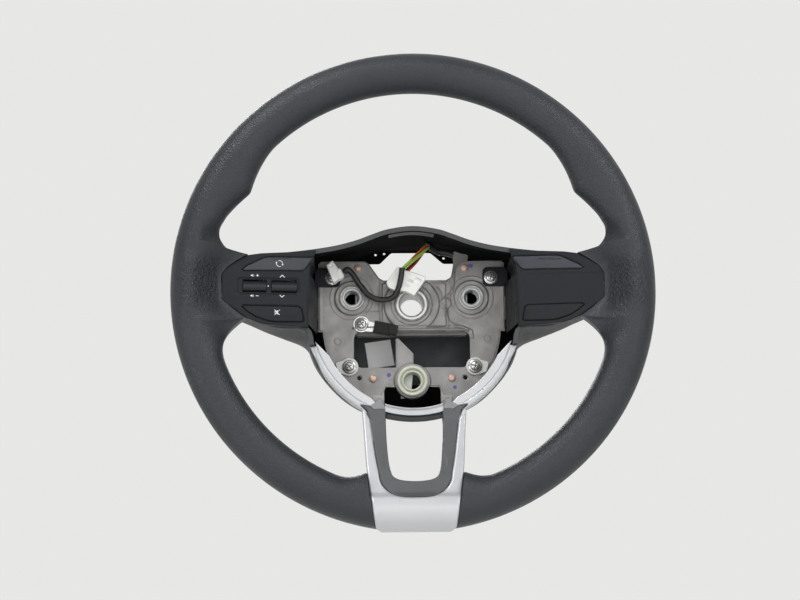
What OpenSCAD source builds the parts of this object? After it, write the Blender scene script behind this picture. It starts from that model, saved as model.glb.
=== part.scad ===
// Car steering wheel with three spokes, shown without its airbag module.
// Millimetres. +X is to the driver's right, +Z is twelve o'clock, +Y points away from the driver.
// The origin is on the steering axis, at the front face of the hub plate.

/* [Rim] */
// Outer radius of the rim
rim_r = 185; // [180:1:190]
// Radius of the grip's round section
grip_r = 15.7; // [15:0.1:16.5]
// Distance along the axis from the hub plate's front face to the middle of the rim
dish = 74; // [72:1:77]
// How far the thumb rests stand in from the plain grip
thumb_rise = 8.6; // [4:0.2:9.4]
// Radius of the cast core inside the grip
core_r = 7; // [6:0.5:8]

/* [Hub plate] */
// Half the width of the hub plate
plate_half_w = 74.5; // [73.5:0.5:75.5]
// Thickness of the hub plate
plate_t = 5; // [4.5:0.5:6]
// Height of the ribs behind the hub plate
rib_h = 9; // [7:1:11]
// Radius of the bore that takes the steering column
column_bore_r = 9; // [8.5:0.1:9.5]
// Radius of the steel bushing that holds the column bore
bushing_r = 13.5; // [13:0.5:14.5]
// Length of the steel bushing
bushing_len = 33; // [29:1:35]

/* [Airbag seats] */
// Distance of the two upper airbag seats from the middle
seat_x = 47.7; // [46.5:0.1:48.5]
// Height of the two upper airbag seats above the axis
seat_z = 5; // [4:0.5:6]
// Distance of the lower airbag seat below the axis
seat_low_z = 62; // [61:0.5:63]
// Bore radius of the two upper seats
seat_bore_r = 5.2; // [4.6:0.1:5.6]
// Bore radius of the lower seat
seat_low_bore_r = 6.6; // [6:0.1:7]

/* [Switch pods] */
// Height of the pods' inner edge above the hub plate
pod_h = 60; // [59:0.5:61]
// Wall thickness of the pod covers
pod_wall = 2; // [1.8:0.1:2.4]
// Gap between a button and the edge of its opening
button_gap = 0.4; // [0.3:0.05:0.5]
// Travel of a button
button_travel = 1.2; // [0.8:0.1:1.4]
// Radius of the rocker barrels
rocker_r = 4.6; // [4.2:0.1:4.7]

/* [Covers and trim] */
// Wall thickness of the rear cover
cover_wall = 2.6; // [2.2:0.1:3]
// Depth of the rear cover behind the hub plate's front face
cover_depth = 44; // [42:1:47]
// Thickness of the trim's skin
trim_t = 2.6; // [2.2:0.1:3]
// Inner radius of the trim's arc round the airbag opening
arc_r = 72; // [71.5:0.25:72.5]
// Width of the trim's arc
arc_w = 11.5; // [10.5:0.5:12]

/* [Fasteners and wires] */
// Shank radius of the screws
screw_r = 2.4; // [2:0.1:2.6]
// Head radius of the screws
screw_head_r = 4; // [3.6:0.1:4.4]
// Radius of one coloured wire
wire_r = 0.9; // [0.7:0.1:1]
// Radius of the black sheathed lead
sheath_r = 2.2; // [1.8:0.1:2.4]

/* [Hidden] */
$fn = 64;

// Gaps between pieces that are pressed or cast together, that touch, and that lie beside each other
fit_gap = 0.05;
seat_gap = 0.2;
side_gap = 0.3;

ring_r = rim_r - grip_r;
rim_y = -dish;
seam_x = ring_r - grip_r - 7;
pod_front_in = -pod_h;
pod_front_out = rim_y + 4;

// The pods' and the lower spoke's outlines keep their inner ends and stretch with the rim
pod_inner = 80;
pod_k = (seam_x - pod_inner) / 66.6;
function px(x) = pod_inner + (x - pod_inner) * pod_k;
function on_pod(pts) = [for (p = pts) [px(p[0]), p[1]]];
leg_top = 79;
leg_k = (ring_r - leg_top) / 90.3;
function leg_z(z) = -leg_top + (z + leg_top) * leg_k;
// Half width and depths that the lower spoke's pieces are cut from
leg_half = 40.5;
spoke_front = rim_y - 30;
spoke_back = -30;

// Prism of a front-view outline (x, z) between two depths
module plate_xz(y0, y1) {
    translate([0, y1, 0]) rotate([90, 0, 0]) linear_extrude(y1 - y0) children();
}

// Prism of a side-view outline (y, z) along X
module prism_x(x0, x1) {
    translate([x0, 0, 0]) rotate([90, 0, 90]) linear_extrude(x1 - x0) children();
}

// Prism of a top-view outline (x, y) along Z
module prism_z(z0, z1) {
    translate([0, 0, z0]) linear_extrude(z1 - z0) children();
}

// Round bar or bore along Y, centred on (x, z)
module rod_y(x, z, r, y0, y1) {
    translate([x, y0, z]) rotate([-90, 0, 0]) cylinder(h = y1 - y0, r = r);
}

// Solid turned about an axis along Y through (x, z), from an outline (radius, y)
module turned_y(x, z) {
    translate([x, 0, z]) rotate([-90, 0, 0]) rotate_extrude() children();
}

// The child and its mirror image on the other side of the wheel
module both_sides() {
    children();
    mirror([1, 0, 0]) children();
}

module on_side(side) {
    if (side > 0) children();
    else mirror([1, 0, 0]) children();
}

module round_box_2d(x0, x1, z0, z1, r) {
    hull() {
        for (x = [x0 + r, x1 - r], z = [z0 + r, z1 - r]) translate([x, z]) circle(r, $fn = 32);
    }
}

// Smooth curves through hand-set points
function catmull(a, b, c, d, t) =
    0.5 * (2 * b + (c - a) * t + (2 * a - 5 * b + 4 * c - d) * t * t + (3 * b - a - 3 * c + d) * t * t * t);
function loop_curve(p, n) = [
    for (i = [0 : len(p) - 1], k = [0 : n - 1])
        let (m = len(p)) catmull(p[(i + m - 1) % m], p[i], p[(i + 1) % m], p[(i + 2) % m], k / n)
];
function open_curve(p, n) = concat([
    for (i = [0 : len(p) - 2], k = [0 : n - 1])
        let (last = len(p) - 1)
            catmull(p[max(i - 1, 0)], p[i], p[i + 1], p[min(i + 2, last)], k / n)
], [p[len(p) - 1]]);
function unit(v) = v / norm(v);
function turn_of(p, i) = let (t = unit(p[min(i + 1, len(p) - 1)] - p[max(i - 1, 0)])) [-t[1], t[0]];
// A curve moved sideways by d, and the band between two such moves
function shifted(p, d) = [for (i = [0 : len(p) - 1]) p[i] + d * turn_of(p, i)];
function reversed(p) = [for (i = [len(p) - 1 : -1 : 0]) p[i]];
function band(p, d0, d1) = concat(shifted(p, d0), reversed(shifted(p, d1)));
function mirrored(p) = concat(p, [for (i = [len(p) - 1 : -1 : 0]) if (p[i][0] > 0) [-p[i][0], p[i][1]]]);
function clamp01(t) = min(max(t, 0), 1);
function smooth(t) = let (c = clamp01(t)) c * c * (3 - 2 * c);
function mix(a, b, t) = a + (b - a) * t;

// Closed solid through rings of points, each ring with as many points. An open row of rings gets
// an end cap on its first and last ring, as triangles round the ring's middle.
function middle(ring) = [for (a = [0 : 2]) sum_of([for (p = ring) p[a]], len(ring) - 1) / len(ring)];
function sum_of(v, i) = i < 0 ? 0 : v[i] + sum_of(v, i - 1);
function loft_faces(rings, n, closed) = concat(
    [for (i = [0 : (closed ? rings - 1 : rings - 2)], j = [0 : n - 1])
        let (a = i * n, b = ((i + 1) % rings) * n, k = (j + 1) % n) [a + j, b + j, b + k, a + k]],
    closed ? [] : [for (j = [0 : n - 1]) [rings * n, j, (j + 1) % n]],
    closed ? [] : [for (j = [0 : n - 1], a = [(rings - 1) * n]) [rings * n + 1, a + (j + 1) % n, a + j]]
);
module loft(rings, closed = false) {
    polyhedron(
        points = concat([for (r = rings, p = r) p], closed ? [] : [middle(rings[0]), middle(rings[len(rings) - 1])]),
        faces = loft_faces(len(rings), len(rings[0]), closed),
        convexity = 8
    );
}

// A point beside a route's point i, a to the side and b upwards. ref is never along the route.
function beside(p, i, a, b, ref) =
    let (t = unit(p[min(i + 1, len(p) - 1)] - p[max(i - 1, 0)]), side = unit(cross(t, ref)))
    p[i] + a * side + b * cross(side, t);
// Tube swept along a smooth route, for wires and leads
module tube(curve, r, n, ref) {
    loft([for (i = [0 : len(curve) - 1]) [for (k = [0 : n - 1])
        beside(curve, i, r * cos(360 * k / n), -r * sin(360 * k / n), ref)]]);
}

// Outline points that the grip and the switch pods share, at the outer end of a side spoke (x, z)
seam = [
    [px(128.1), -21.3], [px(142.6), -10], [px(146.2), -7], [seam_x, 12.4], [px(142.4), 18.2],
    [px(132.6), 24.8], [px(126.8), 28]
];
seam_low = atan2(seam[0][1], seam[0][0]);
seam_high = atan2(seam[6][1], seam[6][0]);
seam_table = [for (p = seam) [atan2(p[1], p[0]), norm(p)]];

// Grip: how far its inner side reaches towards the hub, by the angle f above three o'clock
thumb_f = seam_high + 18.55;
function thumb(f) =
    thumb_rise * (f > thumb_f ? pow(1 - clamp01((f - thumb_f) / 15.5), 1.35) : 1 - clamp01((thumb_f - f) / 9.5));
function spoke_corner(f) =
    f > 0 ? 9.4 * pow(1 - clamp01((f - seam_high) / 3.3), 1.7) - 1.8 * exp(-pow((f - seam_high - 5.3) / 2, 2))
          : 22.7 * pow(1 - clamp01((seam_low - f) / 13), 3.3);
// The grip swells towards the hub beside the lower spoke, from the trim's edge
foot_f = -75.3;
function foot(f) = f < foot_f ? 0 : 9 * pow(1 - clamp01((f - foot_f) / 7.5), 1.7);
function in_spoke(f) = f > seam_low - 0.01 && f < seam_high + 0.01;
function reach(f) = in_spoke(f) ? ring_r - grip_r - lookup(f, seam_table) : thumb(f) + spoke_corner(f) + foot(f);
function spoke_weight(f) =
    f > 0 ? 1 - smooth((f - seam_high) / 7) : 1 - smooth((seam_low - f) / 9);

// One section of the grip, as (distance from the ring's core towards the hub, height to the driver)
grip_half = 10;
function plain_inside(k, f) =
    [(grip_r + reach(f)) * sin(180 * k / grip_half), grip_r * cos(180 * k / grip_half)];
function spoke_inside(k, f) =
    let (in_end = grip_r + reach(f), drop = rim_y - pod_front_out, back = -grip_r + 0.2)
    k < 6 ? [in_end * k / 5, mix(grip_r, drop, smooth(k / 5))]
          : k == 6 ? [in_end, back] : [in_end * (10 - k) / 4, back];
function grip_section(f) = [
    for (k = [0 : 2 * grip_half - 1])
        k > 0 && k < grip_half ? mix(plain_inside(k, f), spoke_inside(k, f), spoke_weight(f))
                               : [grip_r * sin(180 * k / grip_half), grip_r * cos(180 * k / grip_half)]
];
function grip_ring(f, side) = [
    for (p = grip_section(f)) let (r = ring_r - p[0]) [side * r * cos(f), rim_y - p[1], r * sin(f)]
];
// Angles at which the grip has a section: close together at the spokes and the thumb rests
grip_angles = concat(
    [-90, -84, -79, foot_f - 0.5, foot_f, foot_f + 1, foot_f + 2.3, foot_f + 4, foot_f + 7.5],
    [for (i = [1 : 7]) mix(foot_f + 7.5, seam_low - 13, i / 7)],
    [for (d = [9, 6.5, 4.8, 3.4, 2.2, 1.2, 0.4]) seam_low - d],
    [for (p = seam) atan2(p[1], p[0])],
    [for (d = [0.2, 0.6, 1.1, 1.7, 2.6, 3.8, 5.3, 7, 8.7]) seam_high + d],
    [for (d = [11, 13.5, 16, 17.7, 18.8, 20.5, 23, 26, 29.5, 34]) seam_high + d],
    [for (i = [1 : 7]) mix(seam_high + 34, 90, i / 7)]
);

// Arms of the casting: side arms as a top-view path (x, y), lower arms as a side-view path (y, z)
arm_t = 6;
arm_z0 = -12;
arm_z1 = 6;
side_arm_path = open_curve([
    [plate_half_w - 3, 3.5], [plate_half_w + 4, 3.5], [px(88.5), -6], [px(103), -23],
    [px(121), -42], [px(132.8), rim_y + 18.3], [px(140.3), rim_y + 11.8],
    [ring_r - 23.3, rim_y + 9.8], [ring_r - 17, rim_y + 7.6], [ring_r - 9, rim_y + 4], [ring_r, rim_y]
], 3);
lower_arm_x0 = 22.5;
lower_arm_x1 = 31.5;
lower_arm_path = open_curve([
    [3, -66], [2, -76], [-7, leg_z(-86)], [-26, leg_z(-95)], [-44, leg_z(-105)], [-57, leg_z(-123)],
    [rim_y + 8, -ring_r + 23], [rim_y, -ring_r]
], 3);

module side_arm(grow = 0) {
    prism_z(arm_z0 - grow, arm_z1 + grow) polygon(band(side_arm_path, -arm_t / 2 - grow, arm_t / 2 + grow));
}

module lower_arm(grow = 0) {
    prism_x(lower_arm_x0 - grow, lower_arm_x1 + grow)
        polygon(band(lower_arm_path, -arm_t / 2 - grow, arm_t / 2 + grow));
}

module rim_torus(r) {
    translate([0, rim_y, 0]) rotate([90, 0, 0]) rotate_extrude($fn = 96) translate([ring_r, 0]) circle(r, $fn = 32);
}

// The arms' ends are cast round the rim's core as collars
collar_t = 2.4;
module arms(grow = 0) {
    both_sides() {
        side_arm(grow);
        lower_arm(grow);
    }
    intersection() {
        rim_torus(core_r + collar_t + grow);
        both_sides() {
            prism_z(arm_z0 - collar_t - grow, arm_z1 + collar_t + grow)
                translate([ring_r - 2 * core_r, rim_y - 2 * core_r]) square(4 * core_r);
            prism_x(lower_arm_x0 - collar_t - grow, lower_arm_x1 + collar_t + grow)
                translate([rim_y - 2 * core_r, -ring_r - 2 * core_r]) square(4 * core_r);
        }
    }
}

module skeleton(grow = 0) {
    rim_torus(core_r + grow);
    arms(grow);
}

// Hub plate
arc_z = -17;
plate_top = 35;
notch_z = 19.5;
notch_left = -31;
notch_right = 36;
window_x = 46.3;
window_z0 = -51;
window_z1 = -21;
seat_boss_r = 13;
low_boss_r = 13.7;
seat_hole_r = 8.2;
low_hole_r = 10.2;
hub_sink_r = 17;
hub_boss_r = 21;
rivets = [[42.8, 29.5], [31.4, -59.8]];
pod_screw = [63.5, 21];
trim_screw = [50, -50.5];
ground_at = [-40.2, -16];
pin_hole = [42.1, -59.3];

module plate_outline() {
    difference() {
        union() {
            polygon([
                [-plate_half_w, -22], [-plate_half_w, plate_top - 2], [-plate_half_w + 2, plate_top],
                [notch_left - 6, plate_top], [notch_left - 2.5, plate_top - 2.5], [notch_left + 5, notch_z + 2],
                [notch_left + 8.5, notch_z], [notch_right - 8.5, notch_z], [notch_right - 5, notch_z + 2],
                [notch_right + 2.5, plate_top - 2.5], [notch_right + 6, plate_top],
                [plate_half_w - 2, plate_top], [plate_half_w, plate_top - 2], [plate_half_w, -22]
            ]);
            intersection() {
                translate([0, arc_z]) circle(arc_r - 0.8, $fn = 96);
                polygon([
                    [-80, -15], [80, -15], [80, -80], [27, -80], [21.3, -66.5], [-21.3, -66.5], [-27, -80],
                    [-80, -80]
                ]);
            }
            translate([0, -seat_low_z]) circle(low_boss_r);
        }
        difference() {
            round_box_2d(-window_x, window_x, window_z0, window_z1, 7);
            translate([0, -seat_low_z]) circle(low_boss_r);
            polygon([[-13, -28], [-11, -27.5], [1, -40], [1, -55], [-13, -55]]);
        }
    }
}

module screw_hole(at, depth = 14) {
    rod_y(at[0], at[1], screw_r + fit_gap, -4, depth);
}

module hub_ribs() {
    rib_back = plate_t + rib_h;
    for (x = [-27, 29]) prism_x(x - 1.8, x + 1.8) polygon([[2, -22], [2, notch_z - 2], [rib_back, 14], [rib_back, -18]]);
    for (x = [-1, 1]) prism_z(2, 6) polygon([
        [x * 19, 2], [x * 19, rib_back], [x * 36, rib_back], [x * 40, 2]
    ]);
    // Deep wall along the top of the plate's window
    plate_xz(2, rib_back + 10) polygon([[-39, window_z1], [39, window_z1], [36, window_z1 + 3.6], [-36, window_z1 + 3.6]]);
    plate_xz(2, rib_back - 2) intersection() {
        difference() {
            translate([0, arc_z]) circle(arc_r - 1.2, $fn = 96);
            translate([0, arc_z]) circle(arc_r - 5.2, $fn = 96);
        }
        union() {
            translate([-80, -64]) square([40, 60]);
            translate([40, -64]) square([40, 60]);
        }
    }
}

module armature() {
    color([0.62, 0.62, 0.6]) difference() {
        union() {
            arms();
            plate_xz(0, plate_t) plate_outline();
            hub_ribs();
            rod_y(0, 0, hub_boss_r, 1, bushing_len - 3);
            for (x = [-seat_x, seat_x]) rod_y(x, seat_z, seat_boss_r, -1.5, plate_t + 5);
            rod_y(0, -seat_low_z, low_boss_r, -1.5, plate_t + 5);
            for (p = [ground_at, trim_screw, [-trim_screw[0], trim_screw[1]], pod_screw, [-pod_screw[0], pod_screw[1]]])
                rod_y(p[0], p[1], 6, 1, plate_t + 6);
            rod_y(27, 0.5, 4, -1, 3);
        }
        rim_torus(core_r + fit_gap);
        plate_xz(-1, 1.6) difference() {
            translate([-24, -19]) square([52, 37]);
            circle(hub_boss_r);
        }
        rod_y(0, 0, hub_sink_r, -3, 1.5);
        rod_y(0, 0, bushing_r + fit_gap, 0, bushing_len);
        for (x = [-seat_x, seat_x]) rod_y(x, seat_z, seat_hole_r + fit_gap, -3, plate_t + 8);
        rod_y(0, -seat_low_z, low_hole_r + fit_gap, -3, plate_t + 8);
        for (p = [ground_at, trim_screw, [-trim_screw[0], trim_screw[1]], pod_screw, [-pod_screw[0], pod_screw[1]]])
            screw_hole(p);
        for (x = [-1, 1]) {
            rod_y(x * pin_hole[0], pin_hole[1], 1.8, -1, plate_t + 6);
            for (p = rivets) rod_y(x * p[0], p[1], 1.6 + fit_gap, -1, plate_t + 1);
        }
    }
}

// Rod bent to a ring, which stiffens the grip
module rim_core() {
    color([0.7, 0.7, 0.7]) rim_torus(core_r);
}

module hub_bushing() {
    color([0.8, 0.8, 0.78]) turned_y(0, 0) polygon([
        [column_bore_r, 0], [column_bore_r + 0.6, -0.6], [bushing_r - 1.2, -0.6], [bushing_r, 0.8],
        [bushing_r, bushing_len - 1], [bushing_r - 1, bushing_len], [column_bore_r, bushing_len]
    ]);
}

module rim_foam() {
    n = len(grip_angles);
    color([0.2, 0.21, 0.22]) difference() {
        loft(concat(
            [for (i = [0 : n - 1]) grip_ring(grip_angles[i], -1)],
            [for (i = [n - 2 : -1 : 1]) grip_ring(grip_angles[i], 1)]
        ), closed = true);
        skeleton(0.15);
        trim_recess();
    }
}

// Front face of the lower spoke as a side-view path (y, z), from the arc down round the rim
pad_r = grip_r + 0.6;
function on_rim(a) = [rim_y - pad_r * cos(a), -ring_r + pad_r * sin(a)];
trim_path = open_curve([
    [-54, -24], [-53, -58], [-53, leg_z(-86)], [-57, leg_z(-101)], [-66, leg_z(-120)], [rim_y - 3, -ring_r + 28],
    on_rim(62), on_rim(35), on_rim(5), on_rim(-25), on_rim(-50), on_rim(-72)
], 3);
// The trim is deep along the spoke and only as thick as its skin where it lies on the rim
flange = 9;
function trim_depth(z) = mix(flange, trim_t + 0.2, smooth((leg_z(-134) - z) / 14));
trim_back = [for (i = [0 : len(trim_path) - 1]) trim_path[i] + trim_depth(trim_path[i][1]) * turn_of(trim_path, i)];
leg_outline = [
    [-leg_half, leg_z(-86)], [-38.5, leg_z(-112)], [-36.4, -ring_r + 29], [-30.6, -ring_r - 8], [-27.5, -ring_r - 14],
    [-22, -ring_r - 18], [22, -ring_r - 18], [27.5, -ring_r - 14], [30.6, -ring_r - 8],
    [36.4, -ring_r + 29], [38.5, leg_z(-112)], [leg_half, leg_z(-86)]
];
insert_outer = loop_curve([
    [-36, -leg_top], [-36.2, leg_z(-88)], [-33, leg_z(-113)], [-29.2, -ring_r + 32], [-24.6, -ring_r + 19], [-15, -ring_r + 11.3],
    [0, -ring_r + 9.7], [15, -ring_r + 11.3], [24.6, -ring_r + 19], [29.2, -ring_r + 32], [33, leg_z(-113)],
    [36.2, leg_z(-88)], [36, -leg_top], [18, -leg_top], [0, -leg_top], [-18, -leg_top]
], 3);
insert_window = loop_curve([
    [-21.8, leg_z(-98)], [-21, leg_z(-120)], [-18.8, -ring_r + 31], [-14, -ring_r + 24], [0, -ring_r + 22], [14, -ring_r + 24],
    [18.8, -ring_r + 31], [21, leg_z(-120)], [21.8, leg_z(-98)], [22, -74], [0, -70], [-22, -74]
], 3);
bar_w = 6.4;
arc_step = 6;

module arc_ring(r0, r1) {
    difference() {
        translate([0, arc_z]) circle(r1, $fn = 128);
        translate([0, arc_z]) circle(r0, $fn = 128);
    }
}

module arc_outline() {
    intersection() {
        arc_ring(arc_r, arc_r + arc_step);
        translate([-90, -110]) square([180, 80]);
    }
    intersection() {
        arc_ring(arc_r + arc_step - 1, arc_r + arc_w);
        union() {
            translate([-90, -110]) square([67, 69]);
            translate([23, -110]) square([67, 69]);
        }
    }
}

module trim_outline() {
    difference() {
        union() {
            arc_outline();
            difference() {
                polygon(leg_outline);
                translate([0, arc_z]) circle(arc_r + bar_w + 0.4, $fn = 128);
            }
        }
        intersection() {
            offset(delta = seat_gap) polygon(insert_outer);
            difference() {
                translate([-leg_half, -rim_r - grip_r]) square([2 * leg_half, rim_r + grip_r - leg_top - 12]);
                translate([-21.6, -100]) square([43.2, 12]);
            }
        }
    }
}

module trim_block(d0, d1) {
    prism_x(-90, 90) polygon(concat(shifted(trim_path, d0), reversed(
        d1 < 0 ? trim_back : shifted(trim_path, d1)
    )));
}

// Room in the grip for the trim that wraps round it, and for the insert's lower end
module trim_recess() {
    intersection() {
        plate_xz(rim_y - 25, rim_y + 2) offset(delta = side_gap) intersection() {
            polygon(leg_outline);
            translate([-60, -ring_r - 20]) square([120, 40]);
        }
        prism_x(-45, 45) difference() {
            union() {
                translate([rim_y - 25, -ring_r]) square([27, 25]);
                translate([rim_y - 25, -ring_r - 25]) square([25.6 - (pad_r - trim_t) * cos(72), 26]);
            }
            translate([rim_y, -ring_r]) circle(pad_r - trim_t - 1);
        }
    }
}

module spoke_trim() {
    color([0.8, 0.81, 0.83]) {
        difference() {
            intersection() {
                plate_xz(spoke_front, spoke_back) trim_outline();
                trim_block(0, -1);
            }
            intersection() {
                plate_xz(spoke_front, spoke_back) offset(delta = -2) trim_outline();
                prism_x(-90, 90) polygon(band([for (p = trim_path) if (p[1] > -ring_r + 26) p], trim_t, 16));
            }
            // Step between the arc's flat inner band and its raised outer edge
            plate_xz(rim_y, -51.8) intersection() {
                arc_ring(arc_r - 1, arc_r + arc_step);
                translate([-90, -84]) square([180, 60]);
            }
            both_sides() lower_arm(0.4);
        }
        // Lugs that the trim screws hold to the hub plate
        both_sides() {
            difference() {
                union() {
                    plate_xz(-2.2, -seat_gap) round_box_2d(44, 60, -57, -44.5, 4);
                    plate_xz(-52, -seat_gap) polygon([[57.5, -57.5], [59.6, -59.6], [60.6, -57], [60.6, -50], [59, -50]]);
                }
                rod_y(trim_screw[0], trim_screw[1], screw_r + 0.3, -4, 1);
            }
        }
    }
}

insert_path = open_curve([
    [-56.2, -leg_top], [-56.4, leg_z(-88)], [-58.6, leg_z(-101)], [-67, leg_z(-120)], [rim_y - 3.4, -ring_r + 28],
    on_rim(62) + [0.3, 0.2], on_rim(35) + [0.3, 0], on_rim(8) + [0.3, 0]
], 3);

module insert_outline() {
    difference() {
        polygon(insert_outer);
        polygon(insert_window);
    }
}

module spoke_insert() {
    color([0.36, 0.37, 0.38]) intersection() {
        plate_xz(spoke_front, spoke_back) insert_outline();
        prism_x(-leg_half, leg_half) polygon(band(insert_path, 0, trim_t - 0.4));
    }
}

// Back of the lower spoke: a channel that follows the trim and closes on the rim
module lower_spoke_cover() {
    color([0.15, 0.16, 0.17]) difference() {
        intersection() {
            plate_xz(spoke_front, spoke_back) lower_cover_outline(0);
            prism_x(-leg_half, leg_half) polygon(band(lower_cover_path, flange + 0.6, shell_depth));
        }
        intersection() {
            plate_xz(spoke_front, spoke_back) lower_cover_outline(2);
            prism_x(-leg_half, leg_half) polygon(band(lower_cover_path, 0, shell_depth - 2));
        }
        rim_torus(grip_r + side_gap);
        both_sides() lower_arm(0.4);
    }
}

lower_cover_path = [for (p = trim_path) if (p[1] < leg_z(-103) && p[1] > -ring_r + 9) p];
shell_depth = 22;

module lower_cover_outline(inset) {
    difference() {
        offset(delta = -0.6 - inset) polygon(leg_outline);
        offset(delta = 0.4 + inset) polygon(insert_window);
    }
}

// Rear cover: four front-view outlines, from the driver's side to the column's side.
// Each is the right half from twelve to six o'clock, with as many points as the others.
cover_y = [rim_y + grip_r + 0.5, -34, 4, cover_depth];
cover_outlines = [
    [
        [0, 51.8], [19, 49.4], [31, 45.5], [44, 40.7], [60, 36.6], [80, 33.5], [px(105), 30.8], [px(127), 28],
        [seam_x - 1.5, 15], [seam_x - 1.5, -12.5], [px(130), -20.5], [px(105), -27.3], [px(84), -29.3], [79.5, -42], [74.5, -55], [63.5, -70], [49.5, -83],
        [33, -91.5], [16, -94.8], [0, -95.4]
    ],
    [
        [0, 53.5], [19, 51], [31, 47], [44, 42.5], [60, 38.5], [80, 34.5], [px(100), 30.5], [px(118), 26.5], [px(128), 20],
        [px(128), -15], [px(118), -25], [px(100), -33], [px(83), -37.5], [80, -46], [75, -57], [64, -71.5], [50, -84],
        [33, -92], [16, -95.3], [0, -96]
    ],
    [
        [0, 54.5], [19, 53], [31, 51], [44, 48.5], [58, 45], [72, 41], [82, 34], [88.5, 21], [91, 8],
        [91, -9], [88, -20], [84, -30], [79.5, -40], [74.5, -50], [68, -60], [59, -70], [47, -80],
        [32, -88], [16, -91.3], [0, -92]
    ],
    [
        [0, 54], [17, 53.5], [31, 51.5], [44, 47], [54, 40], [62, 31], [67, 22], [70, 12.5], [72, 3],
        [72, -7], [70, -17], [67, -26], [62, -36], [56, -46], [48, -55], [39, -63], [29, -69.5],
        [19, -73.5], [10, -75.5], [0, -76]
    ]
];
cover_steps = 3;

function cover_at(s) =
    let (i = min(floor(s), 2), t = s - i)
    [for (k = [0 : len(cover_outlines[0]) - 1])
        catmull(cover_outlines[max(i - 1, 0)][k], cover_outlines[i][k], cover_outlines[i + 1][k],
                cover_outlines[min(i + 2, 3)][k], t)];
function cover_depth_at(s) = let (i = min(floor(s), 2)) mix(cover_y[i], cover_y[i + 1], s - i);
function inset_loop(p, d) = [
    for (i = [0 : len(p) - 1])
        let (m = len(p), t = unit(p[(i + 1) % m] - p[(i + m - 1) % m])) p[i] + d * [t[1], -t[0]]
];
function cover_ring(s, inset) = [
    for (p = inset_loop(mirrored(cover_at(s)), inset)) [p[0], cover_depth_at(s), p[1]]
];
function lifted(ring, dy) = [for (p = ring) p + [0, dy, 0]];

// The wall is thicker at the cover's front lip
function lip(s) = 1.2 * (1 - smooth(s));

module cover_outside() {
    loft([for (i = [0 : 3 * cover_steps]) cover_ring(i / cover_steps, 0)]);
}

module cover_inside() {
    loft(concat(
        [lifted(cover_ring(0, cover_wall + lip(0)), -5)],
        [for (i = [0 : 3 * cover_steps - 1]) cover_ring(i / cover_steps, cover_wall + lip(i / cover_steps))],
        [lifted(cover_ring(3, cover_wall), -cover_wall)]
    ));
}

module rear_cover() {
    color([0.23, 0.24, 0.25]) difference() {
        cover_outside();
        cover_inside();
        // Opening for the steering column and the wires
        plate_xz(cover_depth - 12, cover_depth + 2) {
            round_box_2d(-43, 43, -16.5, 41, 8);
            polygon([[-28, 36], [-26.4, 40.8], [-24.5, 41.6], [-16.5, 49.4], [-15, 50.2], [16, 50.2], [17.5, 49.4],
                     [26.5, 41.6], [28.4, 40.8], [30, 36]]);
            for (x = [-28.5, 24]) translate([x, 48.6]) circle(1.1, $fn = 24);
        }
        // The trim's arc and its screw lugs take the place of the cover's edge
        plate_xz(-62, -53 + flange + 0.6) {
            offset(delta = side_gap) arc_outline();
            translate([-70, -110]) square([140, 50]);
        }
        // The lower arms leave the cover here
        for (x = [-1, 1]) prism_x(x * 27 - 6.5, x * 27 + 6.5) polygon([
            [-60, -110], [-60, -80], [-40, -74], [8, -68], [8, -96], [-6, -110]
        ]);
    }
}

// Switch pods: shared outline, side +1 on the driver's right
pod_outline_pts = concat(
    [[74, 33.2], [79, 22], [80.5, -6], [80.3, -28], [px(100), -27.3], [px(116.6), -25.6]],
    seam,
    [[px(116.6), 29.6], [px(92), 31.2]]
);
module pod_outline() {
    offset(delta = -side_gap) polygon(pod_outline_pts);
}

// Front surface of a pod as a top-view path (x, y)
pod_path = open_curve([
    [70, pod_front_in + 1.5], [82, pod_front_in - 0.8], [px(100), mix(pod_front_in, pod_front_out, 0.38)],
    [px(122), mix(pod_front_in, pod_front_out, 0.7)], [seam_x, pod_front_out], [seam_x + 6, pod_front_out - 0.6]
], 3);
module pod_slab(d0, d1, z0 = -45, z1 = 45) {
    prism_z(z0, z1) polygon(band(pod_path, d0, d1));
}

top_button = concat([[77.2, 27.4], [77, 25.5]], on_pod([
    [82.5, 17.6], [84.5, 16], [129.6, 15.2], [131.5, 16.6], [127, 20], [114, 26.3], [110, 27]
]));
low_button = on_pod([
    [83, -24], [85.2, -12.8], [88.5, -11], [129.5, -10.8], [131.6, -12.4], [127.5, -16.2], [121, -20.4],
    [111, -23.6], [105, -24.3]
]);
board_y = pod_front_in + 8.4;
board_t = 1.4;
pod_back_y = cover_y[0] - seat_gap;
dome_top = 2.4;
stem_r = 2.4;
top_stems = on_pod([[91, 20.6], [107, 20]]);
low_stems = on_pod([[93, -15.3], [105.5, -14.8]]);
posts = on_pod([[87.5, 11.5], [117, 12.3], [87.5, -6.5], [107.5, -6.5]]);
post_r = 1.4;

// The two rockers turn on one line, which slopes as the pod's front does.
// Along that line each has a span [from, to], measured from its middle point.
rocker_tilt = atan(0.32 * (pod_front_in - pod_front_out) / (22 * pod_k));
rocker_at = [px(110), mix(pod_front_in, pod_front_out, 0.525) + rocker_r - 0.7, 3.9];
volume_span = [3.1, 3.1 + 17.8 * pod_k];
volume_foot = 7 * pod_k;
seek_span = [-0.9 - 19.4 * pod_k, -0.9];
seek_foot = -10.6 * pod_k;
rocker_turn = 7;
trunnion_r = 1.2;
trunnion_len = 1.3;
ear_t = 2.4;

module key_opening(outline) {
    plate_xz(-80, -50) polygon(outline);
}

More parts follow.
